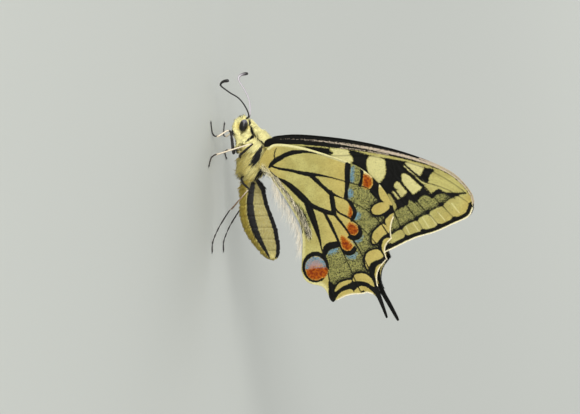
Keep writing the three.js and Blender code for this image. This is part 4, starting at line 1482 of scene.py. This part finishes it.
def joinTufts(name, roots, facing, tips, bend, radius, patch, values, material, slotName):
    # one mesh of many tufts; bend is each tuft's middle, patch its place on the OFBake map
    count, corners = len(roots), len(tuftPlaces)
    sideways, upward, t = tuftPlaces.T[:, None, :, None]
    control = 2 * bend - (roots + tips) / 2
    line = (1 - t) ** 2 * roots[:, None] + 2 * t * (1 - t) * control[:, None] + t**2 * tips[:, None]
    run = unit(tips - roots)
    side = unit(np.cross(facing, run) + 1e-6)
    lift = np.cross(run, side)
    across = sideways * side[:, None] + upward * lift[:, None]
    places = line + across * radius[:, None, None]
    faces = (tuftFaces[None] + corners * np.arange(count)[:, None, None]).reshape(-1, 3)
    mesh = bpy.data.meshes.new(name)
    mesh.vertices.add(count * corners)
    mesh.loops.add(faces.size)
    mesh.polygons.add(len(faces))
    mesh.vertices.foreach_set("co", places.astype(np.float32).ravel())
    mesh.loops.foreach_set("vertex_index", faces.astype(np.int32).ravel())
    mesh.polygons.foreach_set("loop_start", np.arange(0, faces.size, 3, dtype=np.int32))
    mesh.update(calc_edges=True)
    for label, rows in values.items():
        storeValues(mesh, label, np.repeat(rows, corners))
    storeValues(mesh, "alongTuft", np.tile(tuftPlaces[:, 2], count))
    spread = np.stack([tuftPlaces[:, 0] * 0.3, tuftPlaces[:, 2] - 0.5], axis=1) * coat["patchWidth"]
    spots = np.clip((patch[:, None] + spread[None]).reshape(-1, 2), 0.001, 0.999)
    storeMap(mesh, spots[faces.ravel()])
    # tufts are shaded mostly like the skin they lie on, so that they read as one soft coat
    outward = across / np.maximum(np.linalg.norm(across, axis=2), 1e-6)[:, :, None]
    normals = unit((facing[:, None] + coat["tuftSoftness"] * outward).reshape(-1, 3))
    return finishPiece(name, mesh, material, normals=normals)


def bodyPatch(roots):
    # the skin unrolled: along the body, then round it
    x, y, z = roots.T
    turn = np.arctan2(y, z - readOff(trunk["bodyMiddle"], x)) / (2 * math.pi) + 0.5
    return np.stack([onMap((x + 7.0) / 28.0), onMap(turn)], axis=1)


def layOf(place, facing):
    # the way the coat lies, its length and its lift, blended over the body's regions
    region = regionOf(place)
    x = place[:, 0]
    back = smooth(facing[:, 2] - 0.35 * facing[:, 0], 0.2, 0.7)
    low = smooth(-facing[:, 2], 0.1, 0.7)
    front = smooth(-facing[:, 0], 0.1, 0.8)
    rear = smooth(x, 1.2, 4.2)
    root = smooth(x, 8.5, 5.6)
    forward = forwardShare(place)

    def layered(flank, dorsal, ventral):
        under = low * (1 - back)
        return np.outer(1 - back - under, flank) + np.outer(back, dorsal) + np.outer(under, ventral)

    def parted(behind):
        ahead = np.array((-0.4, 0.0, 0.75)) + np.outer(smooth(x, -2.8, -4.0), (0.75, 0.0, 0.0))
        return behind * (1 - forward)[:, None] + ahead * forward[:, None]

    face = np.outer(front, (0.7, 0.0, 0.2))
    lies = {
        "thorax": parted(layered((0.76, 0.0, -0.65), (0.9, 0.0, 0.0), (0.85, 0.0, -0.35))),
        "head": layered((0.1, 0.0, -0.75), (-0.75, 0.0, 0.35), (-0.6, 0.0, -0.7)) - face,
        "neck": parted(np.array((0.5, 0.0, -0.8))),
        "palp": np.array((-0.1, 0.0, -0.9)),
        "coxa": np.array((0.5, 0.0, -0.8)),
        "abdomen": layered((1.0, 0.0, 0.1), (1.0, 0.0, 0.25), (0.85, 0.0, -0.5)),
    }
    cape = (0.6 + 0.35 * smooth(x, -3.0, -4.0)) * forward
    lengths = {
        "thorax": 1.35 - cape - 0.15 * low + 0.75 * rear * (1 - back),
        "head": 0.4 + 0.15 * front + 0.15 * back,
        "neck": 0.6,
        "palp": 0.4,
        "coxa": 0.5,
        "abdomen": 0.3 + 0.4 * low * (1 - 0.4 * smooth(x, 15, 19)) + 0.75 * root,
    }
    lifts = {
        "thorax": 0.3 + 0.1 * forward - 0.1 * rear,
        "head": 0.42 + 0.25 * front,
        "neck": 0.4,
        "palp": 0.4,
        "coxa": 0.25,
        "abdomen": 0.12 + 0.22 * low + 0.1 * root,
    }
    lie = sum(region[name][:, None] * lies[name] for name in region)
    away = place[:, [0, 2]] - np.array(coat["shoulder"])
    near = np.exp(-np.sum(away**2, axis=1) / 0.9) * region["thorax"] * (1 - forward)
    lie[:, [0, 2]] += 0.9 * near[:, None] * away
    return lie, mixed(region, lengths), mixed(region, lifts)


def coatDensity(place):
    # tufts for each square millimetre, with none on the eyes
    region = regionOf(place)
    amount = mixed(region, coat["density"])
    amount += coat["denserForward"] * forwardShare(place) * region["thorax"]
    mirrored = place * (1, -1, 1)
    for rows in (place, mirrored):
        inEye = np.linalg.norm((rows - np.array(drawnEye)) / np.array(coat["eyeReach"]), axis=1) < 1.0
        amount = np.where(inEye, 0, amount)
    return amount


def growCoat(skin, material):
    rng = np.random.default_rng(coat["seed"])
    roots, facing = scatterOn(skin, coatDensity, rng)
    region = regionOf(roots)
    heads = (region["head"] + region["palp"] + region["neck"] + region["coxa"]) > 0.5
    behind = roots[:, 0] > 5.4
    groups = {
        "headCoat": (heads, "cream_hair"),
        "thoraxCoat": (~heads & ~behind, "cream_hair"),
        "abdomenCoat": (~heads & behind, "ochre_hair"),
    }
    for name, (chosen, slotName) in groups.items():
        growTufts(name, roots[chosen], facing[chosen], rng, material, slotName)


def growTufts(name, roots, facing, rng, material, slotName):
    x, _, z = roots.T
    lie, length, lift = layOf(roots, facing)
    lie = lie + rng.normal(0, coat["unruly"], lie.shape)
    # hair lies flat on the skin, but over the neck it may also stand up along its own direction
    free = forwardShare(roots) * smooth(x, -1.0, -2.0)
    into = np.sum(lie * facing, axis=1)
    lie = unit(lie - facing * (into * (1 - 0.4 * free * (into > 0)))[:, None])
    heading = unit(lie * (1 - lift)[:, None] + facing * lift[:, None])
    start, height, half = coat["brow"]
    brow = (x < start) & (np.abs(z - height) < half)
    crest = brow & (rng.random(len(roots)) < coat["crestShare"])
    length = length * rng.uniform(0.55, 1.15, len(roots)) * (1 + 0.35 * crest)
    tips = roots + heading * length[:, None] + lie * (0.25 * length)[:, None]
    tips, clump = clumpTips(roots, tips, coat["clumpEvery"][name], coat["clumpPull"][name])
    bend = (roots + tips) / 2 + facing * (0.1 * length)[:, None]
    values = markBody(roots + 0.6 * (tips - roots))
    clumpTone = rng.uniform(0, 1, clump.max() + 1)
    away = np.linalg.norm(roots[:, [0, 2]] - np.array(bodyMarks["shoulderTuft"]), axis=1)
    pale = np.maximum(smooth(x, -0.4, -1.6), smooth(away, 1.1, 0.5))
    tone = 0.6 * clumpTone[clump] + 0.4 * rng.random(len(roots)) + 0.08 - 0.5 * pale
    values["tone"] = np.clip(tone, 0, 1)
    # dark strands on the flank: partly the coat's mix of dark and pale hair, partly painted shade
    flankShare = regionOf(roots)["thorax"] * smooth(x, -1.2, 0.6)
    dark = flankShare * (rng.random(len(roots)) < coat["darkShare"])
    values["grey"] = np.maximum(values["grey"], 0.85 * dark)
    values["black"] = np.where(crest, 0.5, values["black"])
    radius = coat["thickness"][name] * rng.uniform(0.7, 1.3, len(roots))
    rows = (roots, facing, tips, bend, radius, bodyPatch(roots))
    for part, first in enumerate(range(0, len(roots), coat["perPiece"])):
        pick = slice(first, first + coat["perPiece"])
        marks = {label: value[pick] for label, value in values.items()}
        joinTufts(f"{name}_{part + 1}", *(row[pick] for row in rows), marks, material, slotName)
    print(name, len(roots), "tufts")


# legs, antennae, tongue and eyes

limbs = {
    "seed": 21,
    "spacing": 0.08,
    "footDrop": 0.07,
    "femurRadius": (0.14, 0.22, 0.26, 0.24, 0.19, 0.15),
    "tibiaRadius": (0.13, 0.13, 0.14, 0.15, 0.17),
    "tarsusRadius": 0.115,
    "tarsusJoints": (0.0, 0.4, 0.57, 0.71, 0.83, 1.0),
    "scalesPerArea": 34,
    "scaleLength": {"femur": 0.352, "tibia": 0.22, "tarsus": 0.22},
    "scaleRadius": 0.028,
    "scaleLift": 0.14,
    "spineLength": {"femur": 0.416, "tibia": 0.26, "tarsus": 0.26},
    "spineRadius": 0.012,
    "spineLift": 0.55,
    "spineShare": {"femur": 0.02, "tibia": 0.08, "tarsus": 0.08},
    "clearance": 0.05,
    "clawLength": 0.42,
    "spurLength": 0.5,
    "hookRadius": 0.05,
}

# pale gives how pale femur, tibia and tarsus are, and fade how far the tibia darkens to its end
legs = {
    "front": {
        "stride": 0.7, "girth": 1.0, "pale": (0.0, 0.95, 0.1), "fade": 0.15, "spurs": 1,
        "hip": [(-0.35, -1.1, 3.65)],
        "femur": [(0.6, -1.9, 3.4), (-1.4, -2.25, 3.25), (-3.3, -2.55, 3.0)],
        "tibia": [(-3.5, -3.2, 2.45), (-2.6, -3.9, 1.1)],
        "tarsus": [(-2.55, -4.5, 0.6), (-2.9, -5.0, 0.3), (-3.9, -5.7, 0.2), (-5.2, -6.4, 0.2)],
    },
    "mid": {
        "stride": -0.8, "girth": 0.84, "pale": (0.1, 0.95, 0.15), "fade": 0.15, "spurs": 2,
        "hip": [(1.7, -0.6, 4.9)],
        "femur": [(1.1, -1.65, 4.5), (0.3, -2.9, 5.5), (-1.05, -3.5, 7.1)],
        "tibia": [(-1.1, -4.3, 6.8), (-0.3, -4.8, 4.2), (0.6, -5.2, 1.4)],
        "tarsus": [(0.8, -5.6, 0.75), (1.2, -6.2, 0.3), (1.9, -7.2, 0.2), (2.8, -8.3, 0.2)],
    },
    "hind": {
        "stride": 0.9, "girth": 0.84, "pale": (0.0, 0.7, 0.1), "fade": 0.6, "spurs": 2,
        "hip": [(4.6, -0.6, 5.2)],
        "femur": [(5.2, -1.45, 4.8), (6.1, -3.1, 5.5), (7.0, -4.0, 6.7)],
        "tibia": [(7.4, -4.7, 6.4), (8.9, -4.8, 5.1), (10.4, -4.8, 3.8)],
        "tarsus": [(10.9, -4.9, 3.3), (12.4, -4.9, 2.3), (14.2, -5.0, 1.25), (16.2, -5.1, 0.4),
                   (17.3, -5.2, 0.2), (18.5, -5.3, 0.2)],
    },
}
legParts = ("femur", "tibia", "tarsus")


def evenLine(points, spacing):
    # a smooth line through the points, its places evenly spaced
    rows = smoothLine(points, 8)
    length = runOf(rows)[-1]
    return pointsAt(rows, np.linspace(0, length, max(int(length / spacing), 4) + 1))


def travelFrames(line):
    # directions along, beside and above the line that never twist round it
    run = unit(np.gradient(line, axis=0))
    side = np.zeros_like(run)
    last = np.cross(run[0], (0.31, 0.52, 0.79))
    for i, ahead in enumerate(run):
        last = last - ahead * (last @ ahead)
        last = last / np.linalg.norm(last)
        side[i] = last
    return run, side, np.cross(run, side)


def aroundLine(turn, side, above):
    # the direction out of a line at each place, turned round it from its side
    return np.cos(turn)[:, None] * side + np.sin(turn)[:, None] * above


def roundEnds(line, radii):
    # brings a tube's radii to nothing at both ends, as half a ball would
    run = runOf(line)
    toEnd = np.minimum(run, run[-1] - run)
    share = np.clip(toEnd / np.maximum(radii, 1e-6), 0, 1)
    return radii * np.sqrt(1 - (1 - share) ** 2)


def newShape():
    shape = bmesh.new()
    for name in ("pale", "tone"):
        shape.verts.layers.float.new(name)
    shape.loops.layers.uv.new("OFBake")
    return shape


def addTube(shape, line, radii, values, span=(0.0, 1.0), band=(0.0, 1.0), roundness=10):
    # a closed tube along a line; values holds one number or one for each place, span and band its map
    count = len(line)
    _, side, above = travelFrames(line)
    made = bmesh.ops.create_grid(shape, x_segments=count - 1, y_segments=roundness, size=0.5)["verts"]
    flat = np.array([vert.co for vert in made]) + 0.5
    step = np.rint(flat[:, 0] * (count - 1)).astype(int)
    turn = flat[:, 1] * 2 * math.pi
    layer = shape.loops.layers.uv["OFBake"]
    faces = {face for vert in made for face in vert.link_faces}
    for face in faces:
        for loop in face.loops:
            along = span[0] + (span[1] - span[0]) * (loop.vert.co.x + 0.5)
            around = band[0] + (band[1] - band[0]) * (loop.vert.co.y + 0.5)
            loop[layer].uv = (onMap(along), onMap(around))
    places = line[step] + radii[step, None] * aroundLine(turn, side[step], above[step])
    for name, value in values.items():
        layer = shape.verts.layers.float[name]
        rows = np.broadcast_to(value, count)
        for vert, k in zip(made, step):
            vert[layer] = rows[k]
    for vert, place in zip(made, places):
        vert.co = place
    bmesh.ops.remove_doubles(shape, verts=made, dist=0.004)
    bmesh.ops.recalc_face_normals(shape, faces=[face for face in faces if face.is_valid])


def legSegments(pair, side):
    # the lines of femur, tibia and tarsus, joined at knee and ankle
    leg = legs[pair]

    def placed(points):
        rows = np.array(points, float)
        outward = np.maximum(0, -rows[:, 1] - 2) / 6
        rows[:, 0] += leg["stride"] * outward * (side == "right")
        rows[:, 1] *= -sides[side]
        return rows

    hip, femur, tibia, tarsus = (placed(leg[part]) for part in ("hip", *legParts))
    tarsus[:, 2] -= limbs["footDrop"]
    knee = (femur[-1:] + tibia[:1]) / 2
    ankle = (tibia[-1:] + tarsus[:1]) / 2
    return [np.vstack([hip, femur, knee]), np.vstack([knee, tibia, ankle]), np.vstack([ankle, tarsus])]


def tarsusRadii(share):
    # five links, each widening to its far end
    joints = np.array(limbs["tarsusJoints"])
    order = np.clip(np.searchsorted(joints, share, side="right") - 1, 0, len(joints) - 2)
    start, end = joints[order], joints[order + 1]
    within = (share - start) / (end - start)
    pinch = 1 - 0.4 * ridge(share - end, 1 / 26) - 0.35 * ridge(share - start, 1 / 30)
    return limbs["tarsusRadius"] * (0.85 + 0.35 * within) * pinch


def legRadii(pair, part, line):
    share = np.linspace(0, 1, len(line))
    if part == "tarsus":
        return roundEnds(line, tarsusRadii(share))
    profile = limbs[part + "Radius"]
    radii = np.interp(share, np.linspace(0, 1, len(profile)), profile)
    return roundEnds(line, radii * legs[pair]["girth"])


def addHook(shape, start, heading, curl, length, spot, pale):
    # a curved spur or claw
    t = np.linspace(0, 1, 8)
    line = start + length * (np.outer(t, heading) + np.outer(t**2, curl))
    radii = limbs["hookRadius"] * (1 - t) ** 0.7
    radii[0] = 0.0
    addTube(shape, line, radii, {"pale": pale, "tone": 0.3}, (spot, spot + 0.01), (0.5, 0.52), 6)


def addSpurs(shape, line, count, spot, pale):
    # spurs at the end of the tibia
    run, beside, _ = travelFrames(line)
    for spread in (-0.5 * beside[-1], 0.5 * beside[-1])[:count]:
        heading = unit((0.9 * run[-1] + spread)[None])[0]
        addHook(shape, line[-2] + 0.15 * spread, heading, -0.15 * spread, limbs["spurLength"], spot, pale)


def addClaws(shape, line):
    run, _, _ = travelFrames(line)
    outward = np.cross(run[-1], (0, 0, 1))
    for hand in (-1, 1):
        heading = unit((run[-1] + hand * 0.55 * outward + (0, 0, 0.25))[None])[0]
        start = line[-2] + hand * 0.04 * outward
        addHook(shape, start, heading, (0, 0, -0.5), limbs["clawLength"], 0.98, 0.0)


def buildLeg(pair, side, material, rng, order):
    # returns the leg's scales, as rows for joinTufts
    leg = legs[pair]
    shape = newShape()
    lines = [evenLine(points, limbs["spacing"]) for points in legSegments(pair, side)]
    lengths = [runOf(line)[-1] for line in lines]
    cuts = np.concatenate([[0], np.cumsum(lengths)]) / sum(lengths)
    grown = []
    for k, (part, line) in enumerate(zip(legParts, lines)):
        radii = legRadii(pair, part, line)
        pale = np.full(len(line), leg["pale"][k])
        if part == "tibia":
            pale *= 1 - leg["fade"] * np.linspace(0, 1, len(line))
        span = (cuts[k], cuts[k + 1])
        addTube(shape, line, radii, {"pale": pale, "tone": 0.5}, span)
        grown.append((part, line, radii, pale, span))
    addSpurs(shape, lines[1], leg["spurs"], cuts[2], leg["pale"][1])
    addClaws(shape, lines[2])
    for vert in shape.verts:
        vert.co.z = max(vert.co.z, 0.0)
    replaced = [f"{pair}_{side}_{part}" for part in legParts]
    finishPiece(f"leg_{pair}_{side}", meshOf(shape, "leg"), material, replaced)
    return [scalesOn(*rows, order, rng) for rows in grown]


def scalesOn(part, line, radii, pale, span, order, rng):
    # scales and spines lying along one part of a leg
    run, side, above = travelFrames(line)
    spacing = np.linalg.norm(line[1] - line[0])
    counts = rng.poisson(2 * math.pi * radii * spacing * limbs["scalesPerArea"])
    step = np.repeat(np.arange(len(line)), counts)
    turn = rng.random(len(step)) * 2 * math.pi
    out = aroundLine(turn, side[step], above[step])
    onward = run[step] * rng.uniform(-0.5, 0.5, (len(step), 1)) * spacing
    roots = line[step] + out * (radii[step] * 0.9)[:, None] + onward
    spiny = (rng.random(len(step)) < limbs["spineShare"][part]) & (out[:, 2] < 0.5)
    length = np.where(spiny, limbs["spineLength"][part], limbs["scaleLength"][part])
    length = length * rng.uniform(0.7, 1.2, len(step))
    lift = np.where(spiny, limbs["spineLift"], limbs["scaleLift"])
    tips = roots + (run[step] * (1 - lift)[:, None] + out * lift[:, None]) * length[:, None]
    tips[:, 2] = np.maximum(tips[:, 2], limbs["clearance"])
    roots[:, 2] = np.maximum(roots[:, 2], limbs["clearance"])
    bend = (roots + tips) / 2 + out * (0.08 * length)[:, None]
    radius = np.where(spiny, limbs["spineRadius"], limbs["scaleRadius"])
    along = span[0] + (span[1] - span[0]) * step / (len(line) - 1)
    patch = np.stack([onMap(along), (order + 0.05 + 0.9 * turn / (2 * math.pi)) / 6], axis=1)
    tone = rng.random(len(step))
    shade = np.where(spiny, 0.3 * pale[step], pale[step] * rng.uniform(0.75, 1.0, len(step)))
    return roots, out, tips, bend, radius, patch, tone, shade


def buildLegs(material):
    rng = np.random.default_rng(limbs["seed"])
    rows = []
    for order, (side, pair) in enumerate((side, pair) for side in sides for pair in legs):
        rows += buildLeg(pair, side, material, rng, order)
    *shapes, tone, shade = [np.concatenate(column) for column in zip(*rows)]
    joinTufts("legScales", *shapes, {"tone": tone, "pale": shade}, material, "horn")
    print("legs made,", len(tone), "scales and spines")


feelers = {
    "spacing": 0.06,
    "ring": 0.3,
    "ringDepth": 0.11,
    "radii": [(0.0, 0.19), (0.04, 0.14), (0.3, 0.13), (0.6, 0.13), (0.74, 0.14), (0.82, 0.18), (0.9, 0.27),
              (0.955, 0.31), (1.0, 0.24)],
    "feelerSheen": 0.85,
    "left": [(-5.6, -0.5, 5.5), (-6.3, -0.65, 6.0), (-7.9, -1.5, 5.5), (-9.4, -2.5, 4.5), (-10.4, -3.5, 3.1),
             (-11.6, -4.6, 1.7), (-12.1, -4.9, 1.7), (-12.5, -5.2, 2.3), (-12.65, -5.5, 3.3)],
    "right": [(-5.6, 0.5, 5.5), (-6.3, 0.65, 5.95), (-8.4, 1.4, 5.8), (-9.65, 2.1, 5.3), (-10.9, 2.9, 4.5),
              (-12.7, 4.0, 3.2), (-13.4, 4.4, 3.4), (-13.7, 4.8, 4.0), (-13.8, 5.2, 4.8)],
}


def buildFeeler(side, material):
    line = evenLine(feelers[side], feelers["spacing"])
    share = np.linspace(0, 1, len(line))
    beat = np.abs(np.sin(math.pi * share * feelers["spacing"] * len(line) / feelers["ring"]))
    radii = readOff(feelers["radii"], share) * (1 - feelers["ringDepth"] * (1 - beat) ** 2)
    radii = roundEnds(line, radii)
    shape = newShape()
    addTube(shape, line, radii, {"pale": 0.0, "tone": 0.5}, roundness=12)
    mesh = meshOf(shape, "feeler")
    places = readPlaces(mesh)
    closest = np.argmin(np.linalg.norm(places[:, None] - line[None], axis=2), axis=1)
    inner = (places - line[closest])[:, 1] * -sides[side] / np.maximum(radii[closest], 0.01)
    share = share[closest]
    # painted sheen: the inner side of each feeler is silvery, away from its ends
    feelerSheen = smooth(inner, 0.1, 0.8) * smooth(share, 0.97, 0.8) * smooth(share, 0.04, 0.1)
    storeValues(mesh, "feelerSheen", feelers["feelerSheen"] * feelerSheen)
    finishPiece(f"feeler_{side}", mesh, material, [f"antenna_{side}"])


tongue = {
    "centre": (-3.2, 0.0, 3.85),
    "outer": 1.2,
    "inner": 0.32,
    "turns": 1.6,
    "start": 1.2,
    "steps": 150,
    "radius": 0.17,
    "taper": 0.35,
    "bead": 0.34,
    "beadDepth": 0.26,
}


def buildTongue(material):
    share = np.linspace(0, 1, tongue["steps"])
    reach = tongue["outer"] + (tongue["inner"] - tongue["outer"]) * share
    turn = tongue["start"] + share * tongue["turns"] * 2 * math.pi
    coil = np.stack([-reach * np.sin(turn), np.zeros(len(turn)), reach * np.cos(turn)], axis=1)
    line = coil + tongue["centre"]
    beat = np.abs(np.sin(math.pi * runOf(line) / tongue["bead"]))
    radii = tongue["radius"] * (1 - tongue["beadDepth"] * (1 - beat)) * (1 - tongue["taper"] * share)
    shape = newShape()
    addTube(shape, line, roundEnds(line, radii), {"pale": 0.0, "tone": 0.5}, roundness=12)
    finishPiece("tongue", meshOf(shape, "tongue"), material, ["proboscis"])


eyes = {
    "middle": (-4.42, 1.28, 5.13),
    "reach": (1.16, 0.8, 0.77),
    "tilt": 16,
    "rows": 48,
}


def buildEye(side, material):
    shape = bmesh.new()
    bmesh.ops.create_uvsphere(shape, u_segments=eyes["rows"], v_segments=eyes["rows"] // 2, radius=1.0)
    bmesh.ops.rotate(shape, verts=shape.verts, matrix=Matrix.Rotation(math.radians(90), 3, "X"))
    bmesh.ops.scale(shape, verts=shape.verts, vec=eyes["reach"])
    bmesh.ops.rotate(shape, verts=shape.verts, matrix=Matrix.Rotation(math.radians(eyes["tilt"]), 3, "Y"))
    x, y, z = eyes["middle"]
    middle = (x, y * sides[side], z)
    bmesh.ops.translate(shape, verts=shape.verts, vec=middle)
    mesh = meshOf(shape, "eye")
    place = readPlaces(mesh) - middle
    # painted highlight: high grows towards the top and front of the eye
    storeValues(mesh, "high", smooth(0.2 * place[:, 2] - place[:, 0], -0.5, 1.2))
    finishPiece(f"eyeball_{side}", mesh, material, [f"eye_{side}"])


# loose hair: the wings' fringes, the tufts at the hindwings' roots and the veil along their inner edges

fringe = {
    "seed": 33,
    "spacing": 0.03,
    "length": 0.27,
    "radius": 0.034,
    "white": 0.6,
    "tailFrom": (19.6, 22.4),
}


def growFringe(kind, side, rim, material):
    # short scales that stand off the outer margin
    rng = np.random.default_rng(fringe["seed"] + (kind == "hindwing") + 2 * (side == "right"))
    margin = rimStretch(rim, *wing["margin"][kind])
    edge = pointsAt(margin, np.arange(0.3, runOf(margin)[-1] - 0.3, fringe["spacing"]))
    if kind == "hindwing":  # the tail has no fringe
        out, rear = fringe["tailFrom"]
        edge = edge[(edge[:, 0] < out) | (edge[:, 1] < rear)]
    edge += rng.normal(0, 0.01, edge.shape)
    along = unit(np.gradient(edge, axis=0) + 1e-9)
    kernel = np.ones(9) / 9
    along = unit(np.stack([np.convolve(along[:, k], kernel, "same") for k in (0, 1)], axis=1))
    outward = np.stack([along[:, 1], -along[:, 0]], axis=1)
    if insideOf((edge + 0.3 * outward)[len(edge) // 2][None], rim)[0]:
        outward = -outward
    root = edge - outward * wing["fringeDepth"] * 1.25
    length = fringe["length"] * rng.uniform(0.88, 1.05, len(edge))
    lean = outward + along * rng.normal(0.0, 0.1, len(edge))[:, None]
    tip = root + unit(lean) * length[:, None]
    middle, _ = wingRelief(kind, root, np.full(len(root), 0.1), toVeins(kind, root))
    tilt = rng.normal(0, 0.02, len(root))
    fields = fieldsOf[kind](root - outward * 0.02, rim)
    roots = onWing(kind, side, root, middle + tilt)
    tips = onWing(kind, side, tip, middle + tilt * 2)
    facing = unit(onWing(kind, side, root, middle + 1) - onWing(kind, side, root, middle))
    low, high = rim.min(0), rim.max(0)
    patch = onMap((root - low) / (high - low).max())
    even = np.ones(len(root))
    values = {"black": fields["black"], "yellow": 0.25 * (fields["cream"] < 0.5),
              "tone": 0.35 * rng.random(len(root)), "white": fringe["white"] * even}
    joinTufts(f"fringe_{kind}_{side}", roots, facing, tips, (roots + tips) / 2, fringe["radius"] * even,
              patch, values, material, "wing_membrane")


# rows of roots [out, rear] on the hindwing, how far the hairs stray from them and the way they point
wingHair = {
    "rootTuft": {
        "line": [(-0.7, -0.1), (-0.3, 0.4), (0.3, 1.0), (0.9, 1.8)], "spread": 0.55, "heading": (0.7, 0.6),
        "count": 560, "length": (0.25, 0.6), "radius": 0.015, "lift": 0.35, "dark": 0.25, "white": 0.35,
    },
    "upperStreak": {
        "line": [(1.2, 1.2), (2.6, 3.1), (4.2, 5.3), (5.6, 7.4)], "spread": 0.42, "heading": (0.35, 0.95),
        "count": 460, "length": (0.7, 1.6), "radius": 0.018, "lift": 0.16, "dark": 0.5, "white": 0.6,
    },
    "lowerStreak": {
        "line": [(5.4, 6.6), (6.6, 8.6), (7.3, 10.4), (7.8, 12.0)], "spread": 0.55, "heading": (0.25, 0.97),
        "count": 520, "length": (0.8, 1.8), "radius": 0.019, "lift": 0.14, "dark": 0.62, "white": 0.6,
    },
    "upperVeil": {
        "line": [(1.4, 2.6), (2.6, 4.9), (4.0, 7.2)], "spread": 0.3, "heading": (-0.08, 1.0),
        "count": 230, "length": (1.5, 3.6), "radius": 0.01, "lift": 0.1, "dark": 0.05, "white": 0.8,
    },
    "lowerVeil": {
        "line": [(4.0, 7.2), (5.4, 9.6), (6.3, 12.2), (6.6, 14.6)], "spread": 0.25, "heading": (-0.2, 0.98),
        "count": 280, "length": (1.5, 3.4), "radius": 0.01, "lift": 0.1, "dark": 0.03, "white": 0.8,
    },
}
wingHairSeed = 43


def growWingHair(side, rim, material):
    rng = np.random.default_rng(wingHairSeed)
    low, high = rim.min(0), rim.max(0)
    columns = []
    for hair in wingHair.values():
        count = hair["count"]
        line = smoothLine(hair["line"], 8)
        share = rng.random(count) * (len(line) - 1)
        index = share.astype(int)
        spot = line[index] + (line[index + 1] - line[index]) * (share - index)[:, None]
        spot = spot + rng.normal(0, hair["spread"] / 2, spot.shape)
        heading = unit(np.array(hair["heading"]) + rng.normal(0, 0.2, spot.shape))
        length = rng.uniform(*hair["length"], count)
        face = np.where(rng.random(count) < 0.7, 1.0, -1.0)
        middle, half = wingRelief("hindwing", spot, np.ones(count), toVeins("hindwing", spot))
        height = middle + face * half * 0.8
        rise = face * hair["lift"] * length * rng.uniform(0.5, 1.2, count)
        roots = onWing("hindwing", side, spot, height)
        tips = onWing("hindwing", side, spot + heading * length[:, None], height + rise)
        bend = onWing("hindwing", side, spot + heading * (0.5 * length)[:, None], height + rise * 0.75)
        facing = unit(onWing("hindwing", side, spot, height + face) - roots)
        black = np.where(rng.random(count) < hair["dark"], 1.0, -1.0)
        patch = onMap(np.clip((spot - low) / (high - low).max(), 0, 1))
        tone = 0.6 * rng.random(count)
        columns.append((roots, facing, tips, bend, np.full(count, hair["radius"]), patch,
                        black, tone, np.full(count, hair["white"])))
    *shapes, black, tone, white = [np.concatenate(rows) for rows in zip(*columns)]
    values = {"black": black, "tone": tone, "white": white}
    joinTufts(f"wingHair_{side}", *shapes, values, material, "cream_hair")
    print("hair on the hindwing,", len(tone), "hairs")


# floor

floor = {
    "size": 3.0,
    "shader": {"Base Color": colour(192, 194, 186), "Roughness": 0.9},
}


def layFloor():
    shape = bmesh.new()
    bmesh.ops.create_grid(shape, x_segments=8, y_segments=8, size=floor["size"])
    mesh = meshOf(shape, "floor")
    mesh.materials.append(newMaterial("paleFloor", floor["shader"])[0])
    addObject("floor", mesh)


# the whole insect

placeCamera()
lightStudio()
layFloor()
print("camera, lamps and floor placed")

wingScales, tufts = wingMaterial(), coatMaterial()
horn, eyeGlaze = hornMaterial(), eyeMaterial()
rims = {}
for wingSide in sides:
    for wingKind in ("forewing", "hindwing"):
        rims[wingKind, wingSide] = buildWing(wingKind, wingSide, wingScales)

skin = buildSkin()
growCoat(skin, tufts)
finishPiece("skin", skin, skinMaterial(), trunk["flesh"])
print("skin and coat made")

for (wingKind, wingSide), rim in rims.items():
    growFringe(wingKind, wingSide, rim, tufts)
    if wingKind == "hindwing":
        growWingHair(wingSide, rim, tufts)

buildLegs(horn)
buildTongue(horn)
for limbSide in sides:
    buildFeeler(limbSide, horn)
    buildEye(limbSide, eyeGlaze)
print("feelers, tongue and eyes made")
